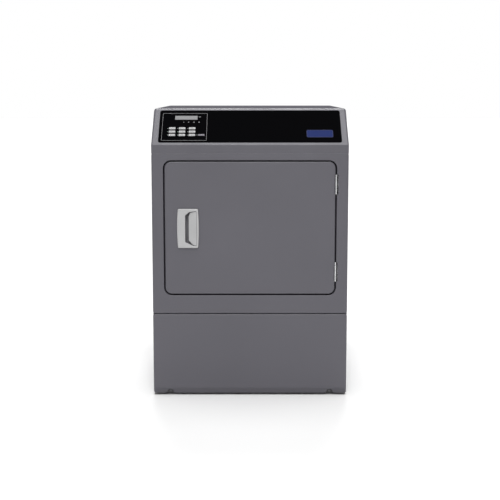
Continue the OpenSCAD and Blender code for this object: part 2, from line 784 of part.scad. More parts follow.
module lint_duct() color([0.20, 0.20, 0.21]) place() {
    w = filter_w / 2 + 8;
    right = motor_x + 72;
    top = throat_z0 - sheet - gap;
    difference() {
        union() {
            slab([-w, duct_d0, 83], [w, duct_d1, top]);
            slab([-w, duct_d0, 83], [right, duct_d1, 217]);
        }
        difference() {
            union() {
                slab([-w + duct_wall, duct_d0 + duct_wall, 85],
                    [w - duct_wall, duct_d1 - duct_wall, top + eps]);
                slab([-w + duct_wall, duct_d0 + duct_wall, 85],
                    [right - duct_wall, duct_d1 - duct_wall, 217 - duct_wall]);
            }
            // Ledges that the filter stands on
            for (s = [-1, 1])
                slab([s * (w - 8) - 6, duct_d0, filter_z0 - 10], [s * (w - 8) + 6, duct_d1, filter_z0]);
        }
        slab([-100, duct_d1 - 5, 318], [100, duct_d1 + eps, 405]);
        rod(inlet_r - 2, duct_d1 - 5, duct_d1 + eps, motor_x, motor_z);
    }
}

module lint_filter() color([0.30, 0.31, 0.32]) place() {
    w = filter_w / 2;
    d1 = filter_d0 + filter_t;
    difference() {
        slab([-w, filter_d0, filter_z0], [w, d1, filter_z1]);
        for (x = [-98, -31, 36])
            slab([x, filter_d0 - eps, filter_z0 + 12], [x + 62, d1 + eps, filter_z1 - 42]);
        slab([-40, filter_d0 - eps, filter_z1 - 28], [40, d1 + eps, filter_z1 - 8]);
    }
    slab([-w + 4, filter_d0 + 5.6, filter_z0 + 4], [w - 4, filter_d0 + 6.4, filter_z1 - 36]);
}

module idler_arm() color(zinc) place() difference() {
    union() {
        // Two links from the pivot: to the pulley, and to the spring's hook
        for (end = [[idler_x, idler_z], [154, pivot_z]]) {
            reach = norm(end - [pivot_x, pivot_z]);
            turn = atan2(end.y - pivot_z, end.x - pivot_x);
            translate([pivot_x, arm_d, pivot_z]) rotate([0, -turn, 0]) slab([0, 0, -7], [reach, arm_t, 7]);
            rod(9, arm_d, arm_d + arm_t, end.x, end.y);
        }
        rod(11, arm_d, arm_d + arm_t, pivot_x, pivot_z);
        rod(stud_r, belt_d - 9, arm_d + 1, idler_x, idler_z);
        rod(stud_r + 3, belt_d - 10, belt_d - 7.4, idler_x, idler_z);
        rod(stud_r + 3, belt_d + 7.4, arm_d + 1, idler_x, idler_z);
    }
    rod(stud_r + fit, arm_d - eps, arm_d + arm_t + eps, pivot_x, pivot_z);
    rod(2, arm_d - eps, arm_d + arm_t + eps, 154, pivot_z);
}

module idler_pulley() color([0.20, 0.20, 0.20]) place() difference() {
    union() {
        rod(idler_r, belt_d - 7, belt_d + 7, idler_x, idler_z);
        for (side = [-1, 1]) rod(12, belt_d + side * 6.6 - 0.5, belt_d + side * 6.6 + 0.5, idler_x, idler_z);
    }
    rod(stud_r + fit, belt_d - 8, belt_d + 8, idler_x, idler_z);
}

module idler_spring() color(steel) place() {
    spring_z = base_z + 22;
    translate([154, arm_d + 1.5, spring_z]) difference() {
        cylinder(r = 5, h = pivot_z - spring_z - 10);
        translate([0, 0, -eps]) cylinder(r = 3.6, h = 120);
    }
}

// Belt round three wheels; a radius is negative where the belt's back runs on the wheel
belt_wheels = [[0, drum_zc, drum_r + gap + belt_t / 2, 96],
    [motor_x, motor_z, pulley_r + gap + belt_t / 2, 16],
    [idler_x, idler_z, -(idler_r + gap + belt_t / 2), 16]];
function centre_of(w) = [w[0], w[1]];
function run_angle(a, b) =
    let (v = centre_of(b) - centre_of(a)) atan2(v.y, v.x) + asin((a[2] - b[2]) / norm(v));
function turn_of(a, b, sign) = sign * (((b - a) * sign + 720) % 360);

// Points where the belt wraps one wheel, offset outwards from the belt's centre line
function wrap(before, wheel, after, offset) =
    let (from = run_angle(before, wheel), to = run_angle(wheel, after), r = wheel[2] + offset,
        turn = turn_of(from, to, sign(wheel[2])))
    [for (i = [0:wheel[3]]) let (a = from + turn * i / wheel[3] - 90)
        centre_of(wheel) + r * [cos(a), sin(a)]];

module belt_loop(offset) polygon([for (i = [0:2])
    each wrap(belt_wheels[(i + 2) % 3], belt_wheels[i], belt_wheels[(i + 1) % 3], offset)]);

module drive_belt() color([0.08, 0.08, 0.08]) place()
    translate([0, belt_d + belt_w / 2, 0]) rotate([90, 0, 0]) linear_extrude(belt_w) difference() {
        belt_loop(belt_t / 2);
        belt_loop(-belt_t / 2);
    }

// ---------- heater, terminals, cord entry ----------

module heater_box() color(zinc) place() {
    d0 = ring_rear + sheet + gap;
    d1 = cab_d - 12;
    difference() {
        slab([-heater_x, d0, heater_z[0]], [heater_x, d1, heater_z[1]]);
        slab([-heater_x + 1, d0 - eps, heater_z[0] + 1], [heater_x - 1, d1 - 1, heater_z[1] - 1]);
        for (x = [-110, 110], i = [0:8])
            translate([x, d1 + eps, heater_z[0] + 24 + i * 24]) rotate([90, 0, 0])
                linear_extrude(4) round_rect(140, 9, 4.4);
    }
}

module heater_element() color([0.45, 0.40, 0.38]) place() {
    d = ring_rear + 24;
    rows = 6;
    pitch = 34;
    for (i = [0:rows - 1])
        translate([-150, d, heater_z[0] + 35 + i * pitch]) rotate([0, 90, 0]) cylinder(r = 4, h = 300);
    for (i = [0:rows - 2]) translate([i % 2 == 0 ? 150 : -150, d, heater_z[0] + 35 + i * pitch - 3])
        cylinder(r = 4, h = pitch + 6);
    for (x = [-100, 100]) slab([x - 1, d - 8, heater_z[0] + 1.2], [x + 1, d + 8, heater_z[1] - 1.2]);
}

module terminal_block() color([0.85, 0.84, 0.80]) place() {
    d1 = cab_d - sheet;
    difference() {
        slab([bushing_x - 32, d1 - 24, bushing_z + 50], [bushing_x + 32, d1, bushing_z + 84]);
        for (i = [-1:1]) rod(5, d1 - 25, d1 - 12, bushing_x + i * 20, bushing_z + 67);
    }
}

module cord_bushing() color([0.06, 0.06, 0.06]) place() difference() {
    union() {
        rod(bushing_r + 3 - 0.05, cab_d - 9, cab_d + 7, bushing_x, bushing_z);
        rod(bushing_r + 8, cab_d, cab_d + 3, bushing_x, bushing_z);
        rod(bushing_r + 6, cab_d - 6, cab_d - sheet, bushing_x, bushing_z);
    }
    rod(bushing_r, cab_d - 10, cab_d + 8, bushing_x, bushing_z);
}

module levelling_leg(sx, d) color([0.10, 0.10, 0.10]) place() translate([sx * leg_x, d, 0]) {
    cylinder(r = 17, h = 6);
    translate([0, 0, 5.9]) cylinder(r = 9, h = 6, $fn = 6);
    translate([0, 0, 5.9]) cylinder(r = leg_r, h = 60);
}

base_pan();
left_side_panel();
right_side_panel();
rear_panel();
top_panel();
front_panel();
lower_front_panel();
panel_screws();
console_housing();
console_fascia();
display_window();
control_board();
badge_plate();
front_bulkhead();
rear_bulkhead();
drum_seals();
motor_housing();
blower_housing();
lint_duct();
exhaust_duct();
heater_box();
heater_element();
terminal_block();
cord_bushing();
door_catch();
door_switch();
cabinet_hinge_leaves();
hinge_pins();
drive_belt();
door_outer_panel();
door_liner();
door_seal();
door_pull();
door_strike();
door_hinge_leaves();
drum_shell();
drum_baffles();
roller_left();
roller_right();
motor_shaft();
blower_wheel();
idler_arm();
idler_pulley();
idler_spring();
lint_filter();
switch_plunger();
key_body(key_at(1), key_h);  // key_1
key_body(key_at(2), key_h);  // key_2
key_body(key_at(3), key_h);  // key_3
key_body(key_at(4), key_h);  // key_4
key_body(key_at(5), key_h);  // key_5
key_body(key_at(6), key_h);  // key_6
key_body(key_at(7), key_h);  // key_7
key_body(key_at(8), key_h);  // key_8
key_body(key_at(9), key_h);  // key_9
key_body(start_at, 8.5);  // start_key
levelling_leg(-1, leg_d[0]);  // leg_front_left
levelling_leg(1, leg_d[0]);  // leg_front_right
levelling_leg(-1, leg_d[1]);  // leg_rear_left
levelling_leg(1, leg_d[1]);  // leg_rear_right
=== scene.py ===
import json
from math import atan2, copysign, cos, pi, radians, sin, sqrt, tan

import bpy
import bmesh
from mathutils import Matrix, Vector


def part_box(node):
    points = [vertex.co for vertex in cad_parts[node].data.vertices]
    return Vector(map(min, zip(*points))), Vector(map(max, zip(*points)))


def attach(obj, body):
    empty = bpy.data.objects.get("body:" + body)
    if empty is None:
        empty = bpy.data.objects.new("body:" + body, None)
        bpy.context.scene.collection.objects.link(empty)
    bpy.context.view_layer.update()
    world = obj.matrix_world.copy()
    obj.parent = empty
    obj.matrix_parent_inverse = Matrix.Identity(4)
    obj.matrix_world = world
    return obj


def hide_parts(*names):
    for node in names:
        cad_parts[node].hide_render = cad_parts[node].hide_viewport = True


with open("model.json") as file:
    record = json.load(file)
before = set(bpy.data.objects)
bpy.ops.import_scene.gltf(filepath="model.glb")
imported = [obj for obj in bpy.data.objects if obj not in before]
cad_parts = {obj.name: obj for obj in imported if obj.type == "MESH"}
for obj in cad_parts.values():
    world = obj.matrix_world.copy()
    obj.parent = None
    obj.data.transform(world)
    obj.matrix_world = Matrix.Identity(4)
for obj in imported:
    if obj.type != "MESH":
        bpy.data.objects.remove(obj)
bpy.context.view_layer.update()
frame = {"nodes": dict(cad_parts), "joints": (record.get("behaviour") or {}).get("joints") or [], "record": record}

MM = 0.001
SHEET = 0.9 * MM


def joint(name):
    return next(j for j in frame["joints"] if j["name"] == name)


# ---------- places taken from the frame ----------

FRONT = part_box("front_panel")[0].y
HALF_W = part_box("front_panel")[1].x
DOOR_LOW, DOOR_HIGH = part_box("door_outer_panel")
DOOR_ZC = (DOOR_LOW.z + DOOR_HIGH.z) / 2
HINGE = Vector(joint("door_hinge")["pos_m"])
DRUM_LOW, DRUM_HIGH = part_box("drum_shell")
DRUM_C = Vector(joint("drum_spin")["pos_m"])
SLOPE_DIR = Vector((0, sqrt(0.5), sqrt(0.5)))
SLOPE_OUT = Vector((0, -sqrt(0.5), sqrt(0.5)))
EDGE_R = 7 * MM
TOP_R = 9 * MM
DOOR_GAP = 5 * MM
CAP_RELIEF = 1.2 * MM
SEAM_CORNER_R = 7 * MM
HINGE_RISE = 153.4 * MM
HINGE_HALF_SLOT = 34.2 * MM
FOOT_SCREW_X = 281.7 * MM
DRUM_BEAD = 2.2 * MM
KEY_NODES = ["key_%d" % k for k in range(1, 10)] + ["start_key"]


def slope_origin():
    """The point where the console's slope starts, above the front face."""
    low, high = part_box("console_housing")
    back_flat = 10 * MM
    rise = high.y - low.y - back_flat
    return Vector((0, FRONT, high.z - rise))


KNEE = slope_origin()


def on_slope(x, s, n=0.0):
    """A point on the console: x across, s up the slope from the knee, n out of it."""
    return KNEE + Vector((x, 0, 0)) + SLOPE_DIR * s + SLOPE_OUT * n


def slope_place(node):
    """Centre of a CAD node on the console, as (x, s, n of its highest face)."""
    low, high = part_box(node)
    centre = (low + high) / 2 - KNEE
    verts = [v.co - KNEE for v in frame["nodes"][node].data.vertices]
    along = [v.dot(SLOPE_DIR) for v in verts]
    return centre.x, (max(along) + min(along)) / 2, max(v.dot(SLOPE_OUT) for v in verts)


def slope_length(node):
    """Length of a CAD node up the console's slope."""
    along = [(v.co - KNEE).dot(SLOPE_DIR) for v in frame["nodes"][node].data.vertices]
    return max(along) - min(along)


# ---------- materials ----------

class Nodes:
    """A material with a Principled shader, and short ways to add nodes to it."""

    def __init__(self, name, colour, roughness, metallic=0.0):
        self.material = bpy.data.materials.new(name)
        self.material.use_nodes = True
        self.tree = self.material.node_tree
        self.shader = self.tree.nodes["Principled BSDF"]
        self.shader.inputs["Base Color"].default_value = (*colour, 1)
        self.shader.inputs["Roughness"].default_value = roughness
        self.shader.inputs["Metallic"].default_value = metallic
        self.colour = colour
        self.roughness = roughness
        self.coords = self.add("ShaderNodeTexCoord").outputs["Object"]

    def add(self, kind, **values):
        node = self.tree.nodes.new(kind)
        for key, value in values.items():
            setattr(node, key, value)
        return node

    def link(self, a, b):
        self.tree.links.new(a, b)

    def set(self, name, value):
        self.shader.inputs[name].default_value = value
        return self

    def stretched(self, scale):
        mapping = self.add("ShaderNodeMapping")
        mapping.inputs["Scale"].default_value = scale
        self.link(self.coords, mapping.inputs["Vector"])
        return mapping.outputs["Vector"]

    def noise(self, scale, detail=3.0, stretch=None, rough=0.5):
        node = self.add("ShaderNodeTexNoise")
        node.inputs["Scale"].default_value = scale
        node.inputs["Detail"].default_value = detail
        node.inputs["Roughness"].default_value = rough
        self.link(self.stretched(stretch) if stretch else self.coords, node.inputs["Vector"])
        return node.outputs["Fac"]

    def ramp(self, value, low, high, from_=(0.3, 0.7)):
        node = self.add("ShaderNodeMapRange")
        node.inputs["From Min"].default_value, node.inputs["From Max"].default_value = from_
        node.inputs["To Min"].default_value = low
        node.inputs["To Max"].default_value = high
        self.link(value, node.inputs["Value"])
        return node.outputs["Result"]

    def tint(self, value, low=0.94, high=1.06, from_=(0.3, 0.7)):
        """Base colour between low and high times the material's colour."""
        mix = self.add("ShaderNodeMix", data_type="RGBA")
        mix.inputs["A"].default_value = (*[c * low for c in self.colour], 1)
        mix.inputs["B"].default_value = (*[min(1, c * high) for c in self.colour], 1)
        self.link(self.ramp(value, 0, 1, from_), mix.inputs["Factor"])
        self.link(mix.outputs["Result"], self.shader.inputs["Base Color"])
        return self

    def vary_roughness(self, value, spread, from_=(0.3, 0.7)):
        self.link(self.ramp(value, self.roughness - spread, self.roughness + spread, from_),
                  self.shader.inputs["Roughness"])
        return self

    def bump(self, value, height, strength=1.0):
        node = self.add("ShaderNodeBump")
        node.inputs["Strength"].default_value = strength
        node.inputs["Distance"].default_value = height
        self.link(value, node.inputs["Height"])
        self.link(node.outputs["Normal"], self.shader.inputs["Normal"])
        return self

    def gloss_by_angle(self, facing, grazing, from_):
        """Specular level that runs from one value seen square on to another seen at a grazing angle."""
        angle = self.add("ShaderNodeLayerWeight")
        angle.inputs["Blend"].default_value = 0.5
        self.link(self.ramp(angle.outputs["Facing"], facing, grazing, from_),
                  self.shader.inputs["Specular IOR Level"])
        return self


def powder_coat(name, colour, roughness=0.42):
    m = Nodes(name, colour, roughness)
    m.tint(m.noise(3.5, 2), 0.965, 1.035)
    m.vary_roughness(m.noise(14, 3), 0.05)
    m.bump(m.noise(620, 2, rough=0.6), 0.12 * MM, 0.45)
    m.gloss_by_angle(0.5, 0.03, (0.75, 0.93))
    return m.material


def gloss_black(name, colour):
    m = Nodes(name, colour, 0.07)
    m.vary_roughness(m.noise(9, 4), 0.025)
    m.bump(m.noise(30, 1), 0.02 * MM, 0.3)
    m.gloss_by_angle(0.0, 0.5, (0.42, 0.9))
    return m.material


def moulded(name, colour, roughness=0.5, grain=900, depth=0.06 * MM, specular=0.5):
    m = Nodes(name, colour, roughness).set("Specular IOR Level", specular)
    m.tint(m.noise(20, 3), 0.95, 1.05)
    m.vary_roughness(m.noise(60, 3), 0.06)
    m.bump(m.noise(grain, 2), depth, 0.4)
    return m.material


def brushed(name, colour, roughness=0.3, along=(1, 60, 60), spread=0.08):
    m = Nodes(name, colour, roughness, 1.0)
    lines = m.noise(35, 4, stretch=along)
    m.tint(lines, 0.88, 1.08)
    m.vary_roughness(lines, spread)
    m.bump(lines, 0.03 * MM, 0.35)
    return m.material


def galvanised(name, colour, roughness=0.38):
    m = Nodes(name, colour, roughness, 0.9)
    cells = m.add("ShaderNodeTexVoronoi")
    cells.inputs["Scale"].default_value = 95
    m.link(m.coords, cells.inputs["Vector"])
    shade = m.add("ShaderNodeSeparateColor")
    m.link(cells.outputs["Color"], shade.inputs["Color"])
    m.tint(shade.outputs["Red"], 0.82, 1.1, (0, 1))
    m.vary_roughness(shade.outputs["Green"], 0.1, (0, 1))
    m.bump(m.noise(260, 3), 0.03 * MM, 0.4)
    return m.material


def rubber(name, colour, roughness=0.72):
    m = Nodes(name, colour, roughness)
    m.tint(m.noise(45, 4), 0.8, 1.25)
    m.vary_roughness(m.noise(120, 3), 0.08)
    m.bump(m.noise(1400, 3), 0.05 * MM, 0.5)
    return m.material


def felt(name, colour):
    m = Nodes(name, colour, 0.95)
    m.tint(m.noise(260, 5, rough=0.8), 0.7, 1.25)
    m.bump(m.noise(900, 5, rough=0.8), 0.5 * MM, 0.8)
    m.set("Sheen Weight", 0.3)
    return m.material


def heated_rod(name, colour):
    m = Nodes(name, colour, 0.55, 0.8)
    m.tint(m.noise(25, 4), 0.5, 1.3)
    m.vary_roughness(m.noise(60, 3), 0.12)
    return m.material


def circuit_board(name, colour):
    m = Nodes(name, colour, 0.35)
    tracks = m.add("ShaderNodeTexBrick")
    tracks.inputs["Scale"].default_value = 90
    tracks.inputs["Mortar Size"].default_value = 0.08
    m.link(m.coords, tracks.inputs["Vector"])
    m.tint(tracks.outputs["Fac"], 1.0, 2.2, (0, 1))
    m.bump(tracks.outputs["Fac"], 0.05 * MM, 0.5)
    return m.material


def lcd_glass(name, colour):
    m = Nodes(name, colour, 0.22)
    cells = m.add("ShaderNodeTexBrick", offset=0.0)
    cells.inputs["Scale"].default_value = 260
    cells.inputs["Mortar Size"].default_value = 0.06
    m.link(m.coords, cells.inputs["Vector"])
    m.tint(cells.outputs["Fac"], 1.0, 0.93, (0, 1))
    m.vary_roughness(m.noise(40, 2), 0.03)
    m.set("Specular IOR Level", 0.1)
    return m.material


def studio_floor(name):
    m = Nodes(name, (0.745, 0.745, 0.745), 0.85)
    m.tint(m.noise(0.7, 2), 0.995, 1.0)
    m.vary_roughness(m.noise(3, 2), 0.03)
    m.set("Specular IOR Level", 0.1)
    return m.material


PAINT = powder_coat("dark_grey_powder_coat", (0.0835, 0.0806, 0.0955))
# Painted shade: a darker copy of the cabinet paint for the bent-in bottom lip of the lower panel, which turns away
# from the light.
LIP_SHADE_PAINT = powder_coat("dark_grey_powder_coat_lip_painted_shade", (0.074, 0.0716, 0.085))
LINER = powder_coat("light_grey_enamel", (0.50, 0.50, 0.51), 0.35)
ZINC = galvanised("galvanised_sheet", (0.58, 0.59, 0.60))
DRUM = brushed("drum_stainless", (0.60, 0.60, 0.60), 0.33, (60, 1, 60))
BRIGHT = brushed("bright_zinc_plate", (0.78, 0.78, 0.79), 0.28, (40, 40, 4))
HINGE_STEEL = brushed("hinge_satin_steel", (0.25, 0.25, 0.26), 0.38, (40, 40, 4))
SCREW_PAINT = powder_coat("dark_painted_screw", (0.085, 0.085, 0.092), 0.34)
# Painted shade: near-black copy of the cabinet paint for the screw tabs behind the foot-screw arches, standing in
# for the shade inside those recesses.
RECESS_SHADE_PAINT = powder_coat("dark_grey_recess_painted_shade", (0.022, 0.022, 0.025))
BLACK_GLOSS = gloss_black("fascia_gloss_black", (0.0022, 0.0022, 0.0026))
LCD = lcd_glass("lcd_window", (0.215, 0.215, 0.22))
BOARD = circuit_board("green_circuit_board", (0.02, 0.13, 0.05))
BADGE = moulded("badge_navy", (0.008, 0.018, 0.095), 0.5, 1500, 0.02 * MM, 0.06)
BADGE_RIM = moulded("badge_rim", (0.030, 0.036, 0.090), 0.45, 1500, 0.02 * MM, 0.1)
FELT = felt("pressed_felt", (0.50, 0.47, 0.40))
MOTOR = powder_coat("motor_enamel", (0.035, 0.035, 0.04), 0.38)
DARK = moulded("dark_moulding", (0.028, 0.028, 0.030), 0.5)
HOT = heated_rod("heating_rod", (0.22, 0.20, 0.18))
PALE = moulded("pale_moulding", (0.60, 0.58, 0.53), 0.45)
BELT = rubber("belt_rubber", (0.018, 0.018, 0.018))
SEAL = rubber("seal_rubber", (0.030, 0.030, 0.031), 0.62)
PULL = moulded("pull_light_grey", (0.385, 0.385, 0.388), 0.40, 1100, 0.03 * MM)
# Painted shade: a dark copy of the pull's light grey for the walls of its deep slot, where shade falls.
PULL_SLOT_SHADE = moulded("pull_hollow_painted_shade", (0.105, 0.103, 0.112), 0.55, 1100, 0.03 * MM)
KEY = moulded("key_light_grey", (0.36, 0.36, 0.365), 0.5, 1500, 0.02 * MM)
START = moulded("key_dim_grey", (0.105, 0.095, 0.118), 0.4, 1500, 0.02 * MM)
MARK = moulded("key_print", (0.10, 0.10, 0.11), 0.5, 1500, 0.01 * MM)
PRINT = moulded("fascia_print", (0.16, 0.16, 0.165), 0.45, 1500, 0.01 * MM)
LAMP = moulded("lamp_lens", (0.42, 0.42, 0.43), 0.2, 1500, 0.01 * MM)
FOOT = rubber("foot_rubber", (0.022, 0.022, 0.022))
SCREEN = brushed("filter_screen_wire", (0.55, 0.55, 0.55), 0.4, (30, 30, 30))
FLOOR = studio_floor("pale_floor")

MATERIAL_OF_SLOT = {
    "cabinet_paint": PAINT, "galvanised_steel": ZINC, "drum_steel": DRUM, "liner_paint": LINER,
    "bright_fittings": BRIGHT, "fascia_gloss": BLACK_GLOSS, "display": LCD, "circuit_board": BOARD,
    "badge_metal": BADGE, "felt": FELT, "motor_paint": MOTOR, "dark_plastic": DARK, "heater_wire": HOT,
    "pale_plastic": PALE, "belt_rubber": BELT, "pull_plastic": PULL, "key_plastic": KEY,
    "start_key_plastic": START, "foot_plastic": FOOT}
SLOT_OF_NODE = {row["node"]: row["material_slot"] for row in frame["record"]["subparts"]}


def paint_frame():
    for node, piece in frame["nodes"].items():
        piece.data.materials.clear()
        piece.data.materials.append(MATERIAL_OF_SLOT[SLOT_OF_NODE[node]])


# ---------- mesh helpers ----------

def new_piece(name, mesh, material, body, replaced=()):
    piece = bpy.data.objects.new(name, mesh)
    bpy.context.scene.collection.objects.link(piece)
    for m in material if isinstance(material, (list, tuple)) else [material]:
        mesh.materials.append(m)
    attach(piece, body)
    if replaced:
        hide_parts(*replaced)
    return piece


def finish_mesh(bm, name, angle=35):
    bmesh.ops.remove_doubles(bm, verts=bm.verts, dist=1e-6)
    bmesh.ops.recalc_face_normals(bm, faces=bm.faces)
    mesh = bpy.data.meshes.new(name)
    bm.to_mesh(mesh)
    bm.free()
    for p in mesh.polygons:
        p.use_smooth = True
    mesh.set_sharp_from_angle(angle=radians(angle))
    return mesh


def made(name, bm, angle, material, body, replaced=()):
    """A piece whose mesh is bm, smooth below the given angle in degrees."""
    return new_piece(name, finish_mesh(bm, name, angle), material, body, replaced)


def even_normals(piece):
    mod = piece.modifiers.new("even_normals", "WEIGHTED_NORMAL")
    mod.keep_sharp = True
    mod.weight = 100
    return piece


def thicken(piece, thickness=SHEET, offset=-1):
    mod = piece.modifiers.new("sheet", "SOLIDIFY")
    mod.thickness = thickness
    mod.offset = offset
    mod.use_even_offset = True
    return piece


def rounded(w, h, r, steps=8, straight=6):
    """Points and outward normals of a rectangle with round corners, centred on zero."""
    out = []
    corners = [(1, -1, -90), (1, 1, 0), (-1, 1, 90), (-1, -1, 180)]
    for i, (sx, sy, start) in enumerate(corners):
        cx, cy = sx * (w / 2 - r), sy * (h / 2 - r)
        for k in range(steps + 1):
            a = radians(start + 90 * k / steps)
            out.append((Vector((cx + r * cos(a), cy + r * sin(a))),
                        Vector((cos(a), sin(a)))))
        nx, ny, _ = corners[(i + 1) % 4]
        end = radians(start + 90)
        a_point = Vector((cx + r * cos(end), cy + r * sin(end)))
        b_point = Vector((nx * (w / 2 - r) + r * cos(end), ny * (h / 2 - r) + r * sin(end)))
        for k in range(1, straight):
            out.append((a_point.lerp(b_point, k / straight), Vector((cos(end), sin(end)))))
    return out


def add_loop(bm, points):
    return [bm.verts.new(p) for p in points]


def bridge(bm, a, b, material=0):
    n = len(a)
    for i in range(n):
        j = (i + 1) % n
        f = bm.faces.new((a[i], a[j], b[j], b[i]))
        f.material_index = material


def loft(bm, loops, cap_first=False, cap_last=False, material=0):
    """Skins a list of loops, each a list of points of one length."""
    rings = [add_loop(bm, loop) for loop in loops]
    for a, b in zip(rings, rings[1:]):
        bridge(bm, a, b, material)
    if cap_first:
        bm.faces.new(rings[0][::-1]).material_index = material
    if cap_last:
        bm.faces.new(rings[-1]).material_index = material
    return rings


def quarter(steps):
    return [radians(90 * k / steps) for k in range(steps + 1)]


def rolls(steps):
    """Depth and inset, from 1 and 0 to 0 and 1, round a quarter of a circle."""
    return [(1 - sin(a), 1 - cos(a)) for a in quarter(steps)]


def radial(angle):
    """Directions out from and round an axis along Y, at an angle from +X."""
    return Vector((cos(angle), 0, sin(angle))), Vector((-sin(angle), 0, cos(angle)))


def face_loop(w, h, r, depth, zc, x=0.0, inset=0.0, steps=8, straight=6, y0=None):
    """Upright loop with round corners at a depth behind the front face."""
    y = (FRONT if y0 is None else y0) + depth
    return [Vector((x + p.x - n.x * inset, y, zc + p.y - n.y * inset))
            for p, n in rounded(w, h, r, steps, straight)]


def cut(piece, cutter):
    mod = piece.modifiers.new("cut", "BOOLEAN")
    mod.object = cutter
    mod.operation = "DIFFERENCE"
    mod.solver = "EXACT"


def bake_modifiers(piece):
    """Applies the piece's modifiers to its mesh."""
    graph = bpy.context.evaluated_depsgraph_get()
    mesh = bpy.data.meshes.new_from_object(piece.evaluated_get(graph))
    piece.modifiers.clear()
    piece.data = mesh
    return piece


def raw_object(bm, name):
    bmesh.ops.remove_doubles(bm, verts=bm.verts, dist=1e-6)
    bmesh.ops.recalc_face_normals(bm, faces=bm.faces)
    mesh = bpy.data.meshes.new(name)
    bm.to_mesh(mesh)
    bm.free()
    piece = bpy.data.objects.new(name, mesh)
    bpy.context.scene.collection.objects.link(piece)
    return piece


def cut_mesh(bm, cutters, name, angle=35):
    """The mesh of bm with the closed cutter meshes taken out of it."""
    body = raw_object(bm, name + "_blank")
    tools = [raw_object(c, name + "_tool") for c in cutters]
    for tool in tools:
        cut(body, tool)
    bpy.context.view_layer.update()
    bake_modifiers(body)
    for tool in tools:
        bpy.data.objects.remove(tool)
    out = bmesh.new()
    out.from_mesh(body.data)
    bpy.data.objects.remove(body)
    return finish_mesh(out, name, angle)


def sheet_metal(bm, name):
    """The closed solid of a skin given the sheet's thickness, as a new bmesh."""
    blank = raw_object(bm, name + "_skin")
    thicken(blank)
    bpy.context.view_layer.update()
    bake_modifiers(blank)
    solid = bmesh.new()
    solid.from_mesh(blank.data)
    bpy.data.objects.remove(blank)
    return solid


def prism(points, axis_from, axis_to):
    """Closed prism between two copies of an outline: axis_from and axis_to place each 2-D point."""
    bm = bmesh.new()
    loft(bm, [[axis_from(p) for p in points], [axis_to(p) for p in points]], True, True)
    return bm


def fillet_path(points, radii, steps=8):
    """Closed outline with its corners rounded; gives points."""
    out = []
    n = len(points)
    for i in range(n):
        a, b, c = Vector(points[i - 1]), Vector(points[i]), Vector(points[(i + 1) % n])
        r = radii[i]
        if r == 0:
            out.append(b)
            continue
        u, v = (a - b).normalized(), (c - b).normalized()
        half = u.angle(v) / 2
        centre = b + (u + v).normalized() * r / sin(half)
        p, q = b + u * r / tan(half) - centre, b + v * r / tan(half) - centre
        start = atan2(p.y, p.x)
        swing = atan2(p.x * q.y - p.y * q.x, p.dot(q))
        for k in range(steps + 1):
            t = start + swing * k / steps
            out.append(centre + Vector((cos(t), sin(t))) * r)
    return out


def lathe(bm, profile, centre, steps=64, axis="y", material=0, closed=False):
    """Turns (radius, position) points about an axis through centre."""
    rings = []
    for radius, along in profile:
        ring = []
        for k in range(steps):
            a = 2 * pi * k / steps
            c, s = radius * cos(a), radius * sin(a)
            p = Vector((c, along, s)) if axis == "y" else Vector((c, s, along))
            ring.append(bm.verts.new(Vector(centre) + p))
        rings.append(ring)
    pairs = list(zip(rings, rings[1:])) + ([(rings[-1], rings[0])] if closed else [])
    for a, b in pairs:
        bridge(bm, a, b, material)
    return rings


# ---------- cabinet shells ----------

def rolled_edges(outline, w, h, zc, upper_r, lower_r):
    """Loops of a front panel from its side walls over its rolled edges to a loop on its flat face."""
    loops = [[Vector((p.x, FRONT + 13 * MM, zc + p.y)) for p, n in outline]]
    for turn, rise in rolls(7):
        loop = []
        for p, n in outline:
            r = EDGE_R * n.x * n.x + (upper_r if n.y > 0 else lower_r) * n.y * n.y
            loop.append(Vector((p.x - n.x * r * rise, FRONT + r * turn, zc + p.y - n.y * r * rise)))
        loops.append(loop)
    flat = 5 * MM
    loops.append(face_loop(w - 2 * (EDGE_R + flat), h - 2 * (lower_r + flat), 2 * MM, 0, zc))
    return loops


